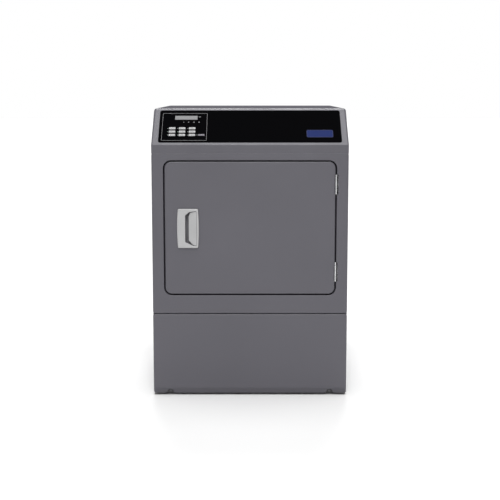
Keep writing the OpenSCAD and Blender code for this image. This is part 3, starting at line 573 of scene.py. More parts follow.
def front_panel():
    low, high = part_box("front_panel")
    w, h, zc = high.x - low.x, high.z - low.z, (high.z + low.z) / 2
    opening_w = DOOR_HIGH.x - DOOR_LOW.x + 2 * DOOR_GAP
    opening_h = DOOR_HIGH.z - DOOR_LOW.z + 2 * DOOR_GAP
    opening_r, roll = 28 * MM, 2.2 * MM
    throat_w, throat_h, throat_r = 480 * MM, 360 * MM, 110 * MM
    seat = high.y - FRONT - SHEET
    bm = bmesh.new()
    loops = rolled_edges(rounded(w, h, SEAM_CORNER_R), w, h, zc, 1.1 * MM, 5 * MM)
    loops.append(face_loop(opening_w, opening_h, opening_r, 0, DOOR_ZC, inset=-roll - 5 * MM))
    for turn, rise in rolls(5):
        loops.append(face_loop(opening_w, opening_h, opening_r, roll * rise, DOOR_ZC, inset=-roll * turn))
    corner = 3 * MM
    for turn, rise in rolls(4):
        loops.append(face_loop(opening_w, opening_h, opening_r, seat - corner * turn, DOOR_ZC,
                               inset=corner * rise))
    hem = 2 * MM
    for turn, rise in rolls(4):
        loops.append(face_loop(throat_w, throat_h, throat_r, seat + hem * rise, DOOR_ZC, inset=-hem * turn))
    loft(bm, loops)
    relief = []
    for side in (-1, 1):
        knuckle = bmesh.new()
        x0, x1 = HINGE.x - 1.2 * MM, HINGE.x + 7.5 * MM
        z = DOOR_ZC + side * HINGE_RISE
        points = [(x0, -1 * MM), (x1, -1 * MM), (x1, 24 * MM), (x0, 24 * MM)]
        loft(knuckle, [[Vector((x, FRONT + d, z + e)) for x, d in points]
                       for e in (-HINGE_HALF_SLOT, HINGE_HALF_SLOT)], True, True)
        relief.append(knuckle)
    for x, z, r in ((-276 * MM, DOOR_ZC, 9 * MM), (-276 * MM, 700 * MM, 4.2 * MM)):
        hole = bmesh.new()
        rings = lathe(hole, [(r, seat - 5 * MM), (r, seat + 6 * MM)], (x, FRONT, z), 32)
        hole.faces.new(rings[0][::-1])
        hole.faces.new(rings[1])
        relief.append(hole)
    solid = sheet_metal(bm, "front")
    mesh = cut_mesh(solid, relief, "front_shell", 40)
    even_normals(new_piece("front_shell", mesh, PAINT, "cabinet", ("front_panel",)))


def lower_panel():
    low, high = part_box("lower_front_panel")
    w, h, zc = high.x - low.x, high.z - low.z, (high.z + low.z) / 2
    foot_corner, lip_z, lip_in = 8 * MM, 28 * MM, 4 * MM
    top = rounded(w, h, SEAM_CORNER_R)
    bottom = rounded(w, h, foot_corner)
    outline = [t if t[0].y > 0 else b for t, b in zip(top, bottom)]
    bm = bmesh.new()
    loft(bm, rolled_edges(outline, w, h, zc, 3 * MM, 3 * MM), cap_last=True)
    for fold_z in (lip_z, lip_z - 1.2 * MM, low.z + 2.5 * MM):
        bmesh.ops.bisect_plane(bm, geom=bm.verts[:] + bm.edges[:] + bm.faces[:], plane_co=(0, 0, fold_z),
                               plane_no=(0, 0, 1))
    for v in bm.verts:
        if v.co.z < lip_z and v.co.y < FRONT + 12 * MM:
            v.co.y += lip_in * (lip_z - v.co.z) / (lip_z - low.z)
    bm.faces.ensure_lookup_table()
    # Faces of the bent-in lip below lip_z take slot 1, the darker paint that paints their shade.
    for f in bm.faces:
        if f.calc_center_median().z < lip_z and f.normal.y < 0.5:
            f.material_index = 1
    solid = sheet_metal(bm, "lower")
    notches = []
    arch_r, arch_foot = 12.5 * MM, 8 * MM
    for side in (-1, 1):
        arch = bmesh.new()
        points = [Vector((arch_r * cos(a), arch_r * sin(a)))
                  for a in [radians(180 * k / 24) for k in range(25)]]
        points += [Vector((-arch_r, -arch_foot)), Vector((arch_r, -arch_foot))]
        loft(arch, [[Vector((side * FOOT_SCREW_X + p.x, FRONT + d, low.z + 2.5 * MM + p.y)) for p in points]
                    for d in (-2 * MM, 11 * MM)], True, True)
        notches.append(arch)
    mesh = cut_mesh(solid, notches, "lower_shell", 30)
    even_normals(new_piece("lower_shell", mesh, [PAINT, LIP_SHADE_PAINT], "cabinet", ("lower_front_panel",)))
    for side in (-1, 1):
        tab = bmesh.new()
        x, tab_w, tab_h, tab_z = side * FOOT_SCREW_X, 36 * MM, 30 * MM, 23 * MM
        loft(tab, [face_loop(tab_w, tab_h, 2 * MM, d, tab_z, x, inset=i)
                   for d, i in ((9 * MM, 0), (8.3 * MM, 0), (8 * MM, 0.4 * MM))], True, True)
        # The tab takes the near-black paint that paints the shade of the recess.
        new_piece("screw_tab_%s" % ("left" if side < 0 else "right"), finish_mesh(tab, "tab"), RECESS_SHADE_PAINT,
                  "cabinet", ())


def top_shell():
    low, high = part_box("top_panel")
    w, depth = high.x - low.x, high.y - low.y
    section = [Vector((-w / 2, low.z))]
    for sign in (-1, 1):
        arc = quarter(10)
        for a in arc if sign < 0 else arc[::-1]:
            across = w / 2 - TOP_R + TOP_R * cos(a)
            section.append(Vector((sign * across, high.z - TOP_R + TOP_R * sin(a))))
    section.append(Vector((w / 2, low.z)))
    bm = bmesh.new()
    edge = 1.2 * MM
    stations = [(low.y, edge), (low.y + 0.35 * edge, 0.35 * edge), (low.y + edge, 0)]
    stations += [(low.y + depth * k / 6, 0) for k in range(1, 6)]
    stations += [(high.y - edge, 0), (high.y - 0.35 * edge, 0.35 * edge), (high.y, edge)]
    rows = []
    for y, inset in stations:
        rows.append([bm.verts.new((p.x * (1 - inset / (w / 2)), y, p.y - (inset if p.y > low.z else 0)))
                     for p in section])
    for a, b in zip(rows, rows[1:]):
        for i in range(len(section) - 1):
            bm.faces.new((a[i], a[i + 1], b[i + 1], b[i]))
    bm.faces.new(rows[-1])
    solid = sheet_metal(bm, "top")
    even_normals(made("top_shell", solid, 35, PAINT, "cabinet", ("top_panel",)))


def console_shell():
    low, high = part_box("console_housing")
    wall, knee_r, brow_r, side_r = 1.5 * MM, 8 * MM, 22 * MM, 6 * MM
    depth = high.y - low.y
    knee = KNEE.z
    rise = high.z - knee
    foot, taper = low.z - 0.5 * MM, 0.8 * MM
    blend_drop, blend_over = 26 * MM, 22 * MM
    corners = [(taper, foot), (0, knee), (rise, high.z), (depth, high.z), (depth, foot)]
    outline = fillet_path(corners, [0, knee_r, brow_r, 0, 0], 10)
    n = len(outline)
    normals = []
    for i in range(n):
        t = (outline[(i + 1) % n] - outline[i - 1]).normalized()
        normals.append(Vector((-t.y, t.x)))
    free = {0: Vector((-1, 0)), n - 1: Vector((0, 0)), n - 2: Vector((0, 1))}
    for i, v in free.items():
        normals[i] = v
    bm = bmesh.new()
    loops = []
    for sign in (-1, 1):
        angles = quarter(7)
        for a in angles if sign < 0 else angles[::-1]:
            loop = []
            for p, nv in zip(outline, normals):
                blend = min(1, max(0, (p.y - (high.z - blend_drop)) / blend_over))
                r = side_r + (TOP_R - side_r) * blend
                inward = r * (1 - sin(a)) if nv.length > 0 else 0
                x = sign * (HALF_W - r * (1 - cos(a)))
                loop.append(Vector((x, FRONT + p.x - nv.x * inward, p.y - nv.y * inward)))
            loops.append(loop)
    loft(bm, loops, True, True)
    slope_in = wall * (sqrt(2) - 1)
    past = 5 * MM
    inner = [(wall + taper, low.z - past), (wall, knee - slope_in), (rise + slope_in, high.z - wall),
             (depth + past, high.z - wall), (depth + past, low.z - past)]
    inner = fillet_path(inner, [0, knee_r - wall, brow_r - wall, 0, 0], 8)
    reach = HALF_W - 5.5 * MM
    cavity = prism(inner, lambda p: Vector((-reach, FRONT + p.x, p.y)),
                   lambda p: Vector((reach, FRONT + p.x, p.y)))
    fs = slope_place("console_fascia")[1]
    f_low, f_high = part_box("console_fascia")
    fw, fl = f_high.x - f_low.x + 0.6 * MM, slope_length("console_fascia") + 0.6 * MM
    window = rounded(fw, fl, 8.3 * MM, 8, 2)
    opening = bmesh.new()
    loft(opening, [[on_slope(p.x, fs + p.y, nn) for p, v in window] for nn in (-9 * MM, 4 * MM)], True, True)
    mesh = cut_mesh(bm, [cavity, opening], "console_shell", 40)
    even_normals(new_piece("console_shell", mesh, PAINT, "cabinet", ("console_housing",)))


# ---------- console fittings ----------

def slope_loop(w, l, r, s, n, x=0.0, inset=0.0, steps=6, straight=3):
    return [on_slope(x + p.x - v.x * inset, s + p.y - v.y * inset, n)
            for p, v in rounded(w, l, r, steps, straight)]


def keypad_outline():
    fn = slope_place("console_fascia")[2]
    left, right, s_low, s_high = -307.3 * MM, -150.5 * MM, 19.6 * MM, 148.6 * MM
    w, l = right - left, s_high - s_low
    x, s, line = (left + right) / 2, (s_low + s_high) / 2, 0.95 * MM
    bm = bmesh.new()
    loops = [slope_loop(w, l, 3 * MM, s, fn + up, x, inset)
             for up, inset in ((-0.05 * MM, 0), (0.08 * MM, 0), (0.08 * MM, line), (-0.05 * MM, line))]
    rings = loft(bm, loops)
    bridge(bm, rings[-1], rings[0])
    made("keypad_outline", bm, 35, PRINT, "cabinet", ())


def flat_mark(bm, points, x, s, n, thick=0.09 * MM):
    loft(bm, [[on_slope(x + px, s + ps, n - 0.05 * MM) for px, ps in points],
              [on_slope(x + px, s + ps, n + thick) for px, ps in points]], True, True)


def disc(r, sides=20):
    return [(r * cos(2 * pi * k / sides), r * sin(2 * pi * k / sides))
            for k in range(sides)]


def bar(w, h, dx=0.0, ds=0.0):
    return [(dx - w / 2, ds - h / 2), (dx + w / 2, ds - h / 2),
            (dx + w / 2, ds + h / 2), (dx - w / 2, ds + h / 2)]


def moved(points, dx, ds):
    return [(x + dx, s + ds) for x, s in points]


def key_marks(index):
    """Plain printed marks for one key: a different set of bars and dots on each."""
    u = MM
    sets = [
        [moved(disc(1.5 * u), -4.5 * u, 0), bar(6.5 * u, 1.1 * u, 3 * u)],
        [moved(disc(1.5 * u), -5.5 * u, 0), moved(disc(1.5 * u), -1.2 * u, 0),
         bar(5.5 * u, 1.1 * u, 4.6 * u)],
        [bar(9 * u, 1.1 * u, 0, 1.3 * u), bar(9 * u, 1.1 * u, 0, -1.3 * u)],
        [moved(disc(1.1 * u), -4 * u, 0), moved(disc(1.1 * u), 0, 0), moved(disc(1.1 * u), 4 * u, 0)],
        [bar(11 * u, 1.2 * u)],
        [bar(3 * u, 3 * u, -4 * u), bar(6 * u, 1.1 * u, 3 * u)],
        [[(-5 * u, -1.6 * u), (-1.8 * u, 0), (-5 * u, 1.6 * u)], bar(6 * u, 1.1 * u, 3 * u)],
        [bar(1.2 * u, 3.4 * u, -3 * u), bar(1.2 * u, 3.4 * u), bar(1.2 * u, 3.4 * u, 3 * u)],
        [[(-2 * u, -1.7 * u), (2 * u, -1.7 * u), (0, 1.9 * u)], bar(3.5 * u, 1 * u, 5.4 * u),
         bar(3.5 * u, 1 * u, -5.4 * u)],
        [[(-1.6 * u, -1.8 * u), (2 * u, 0), (-1.6 * u, 1.8 * u)]]]
    return sets[index]


def keys():
    for index, node in enumerate(KEY_NODES):
        x, s, top = slope_place(node)
        low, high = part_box(node)
        w = high.x - low.x - 3 * MM - CAP_RELIEF
        l = slope_length(node) - 3 * MM - CAP_RELIEF
        bm = bmesh.new()
        dome = 0.55 * MM
        loops = [slope_loop(w + 3 * MM, l + 3 * MM, 2 * MM, s, top - 5.6 * MM, x),
                 slope_loop(w + 3 * MM, l + 3 * MM, 2 * MM, s, top - 4.4 * MM, x),
                 slope_loop(w, l, 2 * MM, s, top - 4.4 * MM, x), slope_loop(w, l, 2 * MM, s, top - dome, x)]
        for turn, rise in rolls(5)[1:]:
            loops.append(slope_loop(w, l, 2 * MM, s, top - dome * turn, x, dome * rise))
        loops.append(slope_loop(w, l, 2 * MM, s, top - 0.12 * MM, x, 2 * MM))
        loft(bm, loops, True, True)
        even_normals(made(node + "_cap", bm, 50, KEY if index < 9 else START, node, (node,)))
        marks = bmesh.new()
        for points in key_marks(index):
            flat_mark(marks, points, x, s, top - 0.12 * MM)
        made(node + "_print", marks, 35, MARK if index < 9 else PRINT, node,
                  ())


def lamps():
    bm = bmesh.new()
    fn = slope_place("console_fascia")[2]
    for node in KEY_NODES:
        x, s, _ = slope_place(node)
        loops = []
        for k in range(6):
            a = radians(90 * k / 5)
            r = 1.25 * MM * cos(a) + 0.02 * MM
            loops.append([on_slope(x - 15.2 * MM + px, s + ps, fn - 0.6 * MM + 0.9 * MM * sin(a))
                          for px, ps in disc(r, 16)])
        loft(bm, loops, True, True)
    made("key_lamps", bm, 60, LAMP, "cabinet", ())


def status_icons():
    """Four plain status marks under the display and one beside it."""
    fn = slope_place("console_fascia")[2]
    bm = bmesh.new()
    u = MM
    s = 106 * MM
    icons = [(-232.3 * MM, s, [[(-1.4 * u, -2 * u), (1.8 * u, 0), (-1.4 * u, 2 * u)]]),
             (-215.7 * MM, s, [disc(2 * u)]),
             (-196.8 * MM, s, [[(-1.7 * u, -2.4 * u), (1.7 * u, -2.4 * u), (1.2 * u, 2.4 * u),
                                (-1.2 * u, 2.4 * u)]]),
             (-179.1 * MM, s, [bar(3.2 * u, 5 * u)]),
             (-176.5 * MM, 131.5 * MM, [bar(3 * u, 2.6 * u, -2.8 * u), bar(3.4 * u, 2.6 * u, 1.4 * u)])]
    for x, s_icon, shapes in icons:
        for points in shapes:
            flat_mark(bm, points, x, s_icon, fn)
    made("status_icons", bm, 35, PRINT, "cabinet", ())


def display():
    x, s, top = slope_place("display_window")
    low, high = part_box("display_window")
    w, l = high.x - low.x, slope_length("display_window")
    bm = bmesh.new()
    loops = [slope_loop(w, l, 1 * MM, s, top - 2.4 * MM, x), slope_loop(w, l, 1 * MM, s, top - 0.3 * MM, x)]
    for turn, rise in rolls(3)[1:]:
        loops.append(slope_loop(w, l, 1 * MM, s, top - 0.3 * MM * turn, x, 0.3 * MM * rise))
    loops.append(slope_loop(w, l, 1 * MM, s, top, x, 0.8 * MM))
    loft(bm, loops, True, True)
    even_normals(made("display_glass", bm, 35, LCD, "cabinet", ("display_window",)))


def badge():
    x, s, top = slope_place("badge_plate")
    low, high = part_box("badge_plate")
    w, l, r, rim, back = high.x - low.x, 34 * MM, 5 * MM, 1.6 * MM, 1.4 * MM
    bm = bmesh.new()
    loops = [slope_loop(w, l, r, s, top - back, x), slope_loop(w, l, r, s, top - 0.5 * MM, x)]
    for turn, rise in rolls(4)[1:]:
        loops.append(slope_loop(w, l, r, s, top - 0.5 * MM * turn, x, 0.5 * MM * rise))
    loops.append(slope_loop(w, l, r, s, top, x, rim))
    loops.append(slope_loop(w, l, r, s, top - 0.35 * MM, x, rim + 0.25 * MM))
    rings = loft(bm, loops, True, False, 1)
    inner = slope_loop(w, l, r, s, top - 0.35 * MM, x, rim + 1.2 * MM)
    ring = add_loop(bm, inner)
    bridge(bm, rings[-1], ring, 0)
    bm.faces.new(ring).material_index = 0
    even_normals(made("badge", bm, 35, [BADGE, BADGE_RIM], "cabinet", ("badge_plate",)))


# ---------- door ----------

def door_face():
    w, h = DOOR_HIGH.x - DOOR_LOW.x, DOOR_HIGH.z - DOOR_LOW.z
    xc = (DOOR_LOW.x + DOOR_HIGH.x) / 2
    depth = DOOR_HIGH.y - DOOR_LOW.y
    r, roll = 23 * MM, 3.2 * MM
    cup_w, cup_h, cup_x = 59 * MM, 121 * MM, -212.5 * MM
    bm = bmesh.new()
    loops = [face_loop(w, h, r, depth, DOOR_ZC, xc, 8 * MM), face_loop(w, h, r, depth, DOOR_ZC, xc, 1 * MM),
             face_loop(w, h, r, depth - 1 * MM, DOOR_ZC, xc)]
    for turn, rise in rolls(6):
        loops.append(face_loop(w, h, r, roll * turn, DOOR_ZC, xc, roll * rise))
    loops.append(face_loop(w, h, r, 0, DOOR_ZC, xc, roll + 6 * MM))
    loops.append(face_loop(cup_w, cup_h, 3 * MM, 0, DOOR_ZC, cup_x, -3 * MM))
    loops.append(face_loop(cup_w, cup_h, 3 * MM, 0, DOOR_ZC, cup_x))
    loops.append(face_loop(cup_w, cup_h, 3 * MM, 4 * MM, DOOR_ZC, cup_x))
    loft(bm, loops)
    solid = sheet_metal(bm, "door")
    slots = []
    for side in (-1, 1):
        slot = bmesh.new()
        z = DOOR_ZC + side * HINGE_RISE
        points = [(HINGE.x - 5 * MM, -1 * MM), (HINGE.x + 2 * MM, -1 * MM), (HINGE.x + 2 * MM, 21 * MM),
                  (HINGE.x - 5 * MM, 21 * MM)]
        loft(slot, [[Vector((x, FRONT + d, z + e)) for x, d in points]
                    for e in (-HINGE_HALF_SLOT, HINGE_HALF_SLOT)], True, True)
        slots.append(slot)
    mesh = cut_mesh(solid, slots, "door_face", 40)
    even_normals(new_piece("door_face", mesh, PAINT, "door", ("door_outer_panel",)))


def door_inner():
    low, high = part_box("door_liner")
    w, h, xc = high.x - low.x, high.z - low.z, (low.x + high.x) / 2
    base = low.y - FRONT
    rise = high.y - low.y
    r = 21.5 * MM
    dish_w, dish_h, dish_r = 450 * MM, 330 * MM, 90 * MM
    bm = bmesh.new()
    loops = [face_loop(w, h, r, base, DOOR_ZC, xc), face_loop(w, h, r, base + 0.5 * MM, DOOR_ZC, xc),
             face_loop(w, h, r, base + SHEET, DOOR_ZC, xc, 0.5 * MM)]
    roll = 2.2 * MM
    for turn, far in rolls(4):
        loops.append(face_loop(dish_w, dish_h, dish_r, base + SHEET + roll * far, DOOR_ZC,
                               inset=-roll * turn))
    for turn, far in rolls(5):
        loops.append(face_loop(dish_w, dish_h, dish_r, base + rise - 2.5 * MM * turn, DOOR_ZC,
                               inset=2.5 * MM * far + 0.6 * MM))
    for inset, drop in ((26, 0.0), (30, 0.5), (36, 1.8), (42, 2.4)):
        loops.append(face_loop(dish_w, dish_h, dish_r, base + rise - drop * MM, DOOR_ZC, inset=inset * MM))
    loft(bm, loops, False, True)
    piece = made("door_inner", bm, 45, LINER, "door", ("door_liner",))
    thicken(piece, 0.7 * MM)
    even_normals(piece)
    for k, (sx, sz) in enumerate([(-1, -1), (1, -1), (-1, 1), (1, 1), (0, -1), (0, 1)]):
        x, z = sx * (w / 2 - 16 * MM), DOOR_ZC + sz * (h / 2 - 16 * MM)
        screw_head("door_screw_%d" % (k + 1), (x, FRONT + base + SHEET, z), 1, "door", 3.6 * MM, 1.9 * MM)


def gasket():
    low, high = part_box("door_seal")
    w, h, thick = high.x - low.x, high.z - low.z, high.y - low.y
    width, r = 11 * MM, 130 * MM
    bm = bmesh.new()
    loops = []
    for k in range(20):
        a = 2 * pi * k / 20
        ca, sa = cos(a), sin(a)
        side = copysign(abs(ca) ** 0.6, ca) * width / 2
        up = copysign(abs(sa) ** 0.7, sa) * thick / 2
        loops.append(face_loop(w, h, r, low.y - FRONT + thick / 2 + up, DOOR_ZC, inset=width / 2 - side,
                               steps=14, straight=10))
    rings = loft(bm, loops)
    bridge(bm, rings[-1], rings[0])
    made("door_gasket", bm, 60, SEAL, "door", ("door_seal",))


def pull_outline(w, h, r, bow, inset=0.0, steps=6, straight=16):
    """Outline of the pull: a round-cornered rectangle whose long sides bow outwards."""
    out = []
    for p, n in rounded(w, h, r, steps, straight):
        q = p - n * inset
        swell = bow * (1 - (2 * q.y / h) ** 2)
        out.append(Vector((q.x + copysign(swell, q.x) * min(1, abs(q.x) / (w / 2 - r)), q.y)))
    return out


def subdivided(corners, radii, steps=8, straight=7):
    """Round-cornered closed outline with the same number of points on every corner and straight."""
    path = fillet_path([(x * MM, y * MM) for x, y in corners], [r * MM for r in radii], steps)
    out = []
    for i in range(len(corners)):
        arc = path[i * (steps + 1):(i + 1) * (steps + 1)]
        nxt = path[((i + 1) * (steps + 1)) % len(path)]
        out += arc + [arc[-1].lerp(nxt, k / straight) for k in range(1, straight)]
    return out


def door_pull():
    low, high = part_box("door_pull")
    xc, zc = (low.x + high.x) / 2, (low.z + high.z) / 2
    bow, proud, lip, right = 3 * MM, FRONT - low.y, -9.4, 30.6
    w, h = high.x - low.x - 2 * bow, high.z - low.z
    brim = subdivided([(right, -61.1), (right, 61.5), (lip + 14, 58), (lip, 46), (lip, -47.4),
                       (lip + 27, -60.9)], [3, 4, 8, 6, 5, 10])
    floor_edge = subdivided([(right - 1, -60.2), (right - 1, 60.4), (lip + 17.5, 55.5), (lip + 11.7, 43),
                             (lip + 11.7, -42.5), (lip + 27, -58.6)], [3, 4, 6, 5, 4, 8])

    def at(points, depth):
        return [Vector((xc + p.x, FRONT + depth, zc + p.y)) for p in points]

    def floor_depth(p):
        start, end = (lip + 8) * MM, right * MM
        t = min(1, max(0, (p.x - start) / (end - start)))
        return -proud + (1 - t) ** 0.85 * 8.5 * MM + 0.6 * MM

    bm = bmesh.new()
    edge, edge_r = 3 * MM, 1.0 * MM
    wall = [at(pull_outline(w, h, 4 * MM, bow), d) for d in (0.3 * MM, edge - proud)]
    for turn, rise in rolls(6)[1:]:
        wall.append(at(pull_outline(w, h, 4 * MM, bow, edge * rise), edge * turn - proud))
    plate_edge = loft(bm, wall)[-1]
    centre = sum(brim, Vector((0, 0))) / len(brim)
    rolled = []
    for turn, rise in rolls(4):
        rolled.append(at([p + (p - centre).normalized() * (edge_r * turn) for p in brim],
                         edge_r * rise - proud))
    rings = loft(bm, rolled)
    rims = [(ring[i], ring[(i + 1) % len(ring)]) for ring in (plate_edge, rings[0]) for i in range(len(ring))]
    bmesh.ops.triangle_fill(bm, use_beauty=True, use_dissolve=False,
                            edges=[bm.edges.get(pair) for pair in rims])
    top = edge_r - proud
    slot_depth = [min(13 * MM, max(0.0, (q - p).length - 2.6 * MM) * 1.3) for p, q in zip(brim, floor_edge)]
    levels = [max(floor_depth(q), top) for q in floor_edge]

    def hollow(reach, fraction, lift=1.0):
        points = []
        for p, q, level, deep in zip(brim, floor_edge, levels, slot_depth):
            m = p.lerp(q, reach)
            points.append(Vector((xc + m.x, FRONT + top + (level + deep * lift - top) * fraction, zc + m.y)))
        return points

    ring = rings[-1]
    # The slot's walls take slot 1, the dark grey that paints the shade inside the slot.
    for reach, fraction, lift in ((0, 0.4, 1), (0, 0.8, 1), (0, 1, 1), (0.5, 1, 1), (1, 1, 1), (1, 1, 0.25)):
        nxt = add_loop(bm, hollow(reach, fraction, lift))
        bridge(bm, ring, nxt, 1)
        ring = nxt
    middle = sum(floor_edge, Vector((0, 0))) / len(floor_edge)
    for scale, drop in ((1.0, 0.0), (0.985, -0.25), (0.95, -0.3), (0.6, 0.0), (0.25, 0.0)):
        inner = [middle + (q - middle) * scale for q in floor_edge]
        nxt = add_loop(bm, [Vector((xc + m.x, FRONT + floor_depth(m) + drop * MM, zc + m.y)) for m in inner])
        bridge(bm, ring, nxt)
        ring = nxt
    bm.faces.new(ring)
    even_normals(made("door_pull_moulding", bm, 38, [PULL, PULL_SLOT_SHADE], "door", ("door_pull",)))


# ---------- hinges and screws ----------

def hinge_knuckles():
    for side in (-1, 1):
        z = DOOR_ZC + side * HINGE_RISE
        seg = 64 * MM / 3
        for body, ks in (("cabinet", (-1, 1)), ("door", (0,))):
            bm = bmesh.new()
            r, bore = 3.2 * MM, 1.45 * MM
            for k in ks:
                lo, hi = z + (k - 0.5) * seg + 0.15 * MM, z + (k + 0.5) * seg - 0.15 * MM
                b = 0.35 * MM
                lathe(bm, [(bore, lo), (r - b, lo), (r, lo + b), (r, hi - b), (r - b, hi), (bore, hi)],
                      (HINGE.x, HINGE.y, 0), 40, "z", closed=True)
            name = "hinge_knuckle_%s_%s" % (body, "low" if side < 0 else "high")
            made(name, bm, 40, HINGE_STEEL, body, ())


def screw_head(name, at, facing, body, radius=4.6 * MM, height=2.4 * MM, material=None, replaced=()):
    """A domed head with a cross recess; facing is -1 towards the front and 1 towards the back."""
    bm = bmesh.new()
    profile = [(radius, 0), (radius, 0.25 * height)]
    for a in quarter(6)[1:]:
        profile.append((max(radius * cos(a), 0.02 * MM), 0.25 * height + 0.75 * height * sin(a)))
    rings = lathe(bm, [(r, facing * p) for r, p in profile], at, 32)
    bm.faces.new(rings[0])
    bm.faces.new(rings[-1])
    cross = []
    for turn in (0, 90):
        tool = bmesh.new()
        half_l, half_w = radius * 0.55, radius * 0.13
        u, v = radial(radians(45 + turn))
        pts = [(-half_l, -half_w), (half_l, -half_w), (half_l, half_w), (-half_l, half_w)]
        loft(tool, [[Vector(at) + u * p + v * q + Vector((0, facing * d, 0)) for p, q in pts]
                    for d in (0.45 * height, 1.3 * height)], True, True)
        cross.append(tool)
    mesh = cut_mesh(bm, cross, name, 40)
    return new_piece(name, mesh, material or BRIGHT, body, replaced)


def cabinet_screws():
    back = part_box("rear_panel")[1].y
    for i, side in enumerate((-1, 1)):
        screw_head("foot_screw_%d" % (i + 1), (side * FOOT_SCREW_X, FRONT + 8 * MM, 16 * MM), -1, "cabinet",
                   5.2 * MM, 2.6 * MM, SCREW_PAINT, ("panel_screws",) if side < 0 else ())
        for k, z in enumerate((90, 380, 670, 950)):
            screw_head("back_screw_%d_%d" % (i + 1, k + 1), (side * (HALF_W - 12 * MM), back, z * MM), 1,
                       "cabinet")


# ---------- drum and its surroundings ----------

def drum():
    c = DRUM_C
    r_out = DRUM_HIGH.z - c.z - DRUM_BEAD
    r_in = r_out - SHEET
    y0, y1 = DRUM_LOW.y, DRUM_HIGH.y
    steps = 160
    rim = 30 * MM
    profile = [(r_in, y0), (r_in, y0 + rim)]
    bead_half, bead_height = 7 * MM, 2.0 * MM
    for bead in (78, 168, 358, 468):
        yb = y0 + bead * MM
        for k in range(9):
            t = k / 8
            profile.append((r_in + bead_height * sin(pi * t) ** 1.5, yb - bead_half + 2 * bead_half * t))
    profile += [(r_in, y1 - rim), (r_in, y1)]
    outer = [(r + SHEET, y) for r, y in profile[::-1]]
    bm = bmesh.new()
    lathe(bm, profile + outer, (c.x, 0, c.z), steps, "y", closed=True)
    made("drum_skin", bm, 40, DRUM, "drum", ("drum_shell",))
    bm = bmesh.new()
    u, v = radial(radians(20))
    half, end = 6, 4 * MM
    loft(bm, [[Vector((c.x, 0, c.z)) + u * (r_in - d) + v * x * MM + Vector((0, y, 0))
               for x, y in ((-half, y0 + end), (half, y0 + end), (half, y1 - end), (-half, y1 - end))]
              for d in (-0.1 * MM, 0.7 * MM)], True, True)
    made("drum_seam", bm, 35, DRUM, "drum", ())


def baffles():
    c = DRUM_C
    low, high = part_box("drum_baffles")
    y0, y1 = low.y, high.y
    height, foot_half, crest = 78 * MM, 44 * MM, 17 * MM
    r_in = DRUM_HIGH.z - c.z - DRUM_BEAD - SHEET
    foot_r = sqrt(r_in ** 2 - foot_half ** 2) - 0.3 * MM
    for index, angle in enumerate((60, 180, 300)):
        u, v = radial(radians(angle))
        bm = bmesh.new()
        stations = 24
        rows = []
        for k in range(stations + 1):
            t = k / stations
            end = min(t, 1 - t) * stations / 4
            swell = 1 if end >= 1 else sin(pi / 2 * end) ** 0.6 * 0.999 + 0.001
            hgt = max(height * swell, 0.6 * MM)
            row = []
            profile = fillet_path([(-foot_half, 0), (-crest, hgt), (crest, hgt), (foot_half, 0)],
                                  [0, min(14 * MM, hgt * 0.6), min(14 * MM, hgt * 0.6), 0], 6)
            for p in profile:
                row.append(Vector((c.x, 0, c.z)) + u * (foot_r - p.y) + v * p.x
                           + Vector((0, y0 + (y1 - y0) * t, 0)))
            rows.append(row)
        rings = [add_loop(bm, row) for row in rows]
        for ra, rb in zip(rings, rings[1:]):
            bridge(bm, ra, rb)
        bm.faces.new(rings[0][::-1])
        bm.faces.new(rings[-1])
        node = ("drum_baffles",) if index == 0 else ()
        made("baffle_%d" % (index + 1), bm, 50, DRUM, "drum", node)


def lint_filter():
    low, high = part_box("lint_filter")
    w = high.x - low.x
    d0, d1 = low.y, high.y
    zc, h = (low.z + high.z) / 2, high.z - low.z
    bm = bmesh.new()
    b = 1.2 * MM
    y_mid = (d0 + d1) / 2
    outline = [(d0 + 0.35 * b - FRONT, 0.35 * b), (d0 - FRONT, b)]
    loops = [face_loop(w, h, 4 * MM, d1 - b - FRONT, zc), face_loop(w, h, 4 * MM, d0 + b - FRONT, zc)]
    loops += [face_loop(w, h, 4 * MM, d, zc, inset=i) for d, i in outline]
    back = [face_loop(w, h, 4 * MM, d1 - 0.35 * b - FRONT, zc, inset=0.35 * b),
            face_loop(w, h, 4 * MM, d1 - FRONT, zc, inset=b)]
    loft(bm, back[::-1] + loops, True, True)
    holes = []
    window_w, half_window = 62 * MM, 31 * MM
    windows = [(x * MM + half_window, low.z + 12 * MM, high.z - 42 * MM) for x in (-98, -31, 36)]
    for x, z0, z1 in windows:
        tool = bmesh.new()
        loft(tool, [face_loop(window_w, z1 - z0, 5 * MM, d - FRONT, (z0 + z1) / 2, x)
                    for d in (d0 - b, d1 + b)], True, True)
        holes.append(tool)
    grip = bmesh.new()
    loft(grip, [face_loop(80 * MM, 20 * MM, 9 * MM, d - FRONT, high.z - 18 * MM) for d in (d0 - b, d1 + b)],
         True, True)
    holes.append(grip)
    mesh = cut_mesh(bm, holes, "lint_filter_frame", 40)
    even_normals(new_piece("lint_filter_frame", mesh, DARK, "lint_filter", ("lint_filter",)))
    bm = bmesh.new()
    pitch, wire = 3.2 * MM, 0.35 * MM
    section = ((-wire, -wire), (wire, -wire), (wire, wire), (-wire, wire))
    for x, z0, z1 in windows:
        columns, rows = int(window_w / pitch), int((z1 - z0) / pitch)
        for i in range(1, columns):
            px = x - half_window + window_w * i / columns
            loft(bm, [[Vector((px + p, y_mid + q, z)) for p, q in section] for z in (z0, z1)], True, True)
        for j in range(1, rows):
            pz = z0 + (z1 - z0) * j / rows
            loft(bm, [[Vector((px, y_mid + q, pz + p)) for p, q in section]
                        for px in (x - half_window, x + half_window)], True, True)
    made("lint_screen", bm, 35, SCREEN, "lint_filter", ())


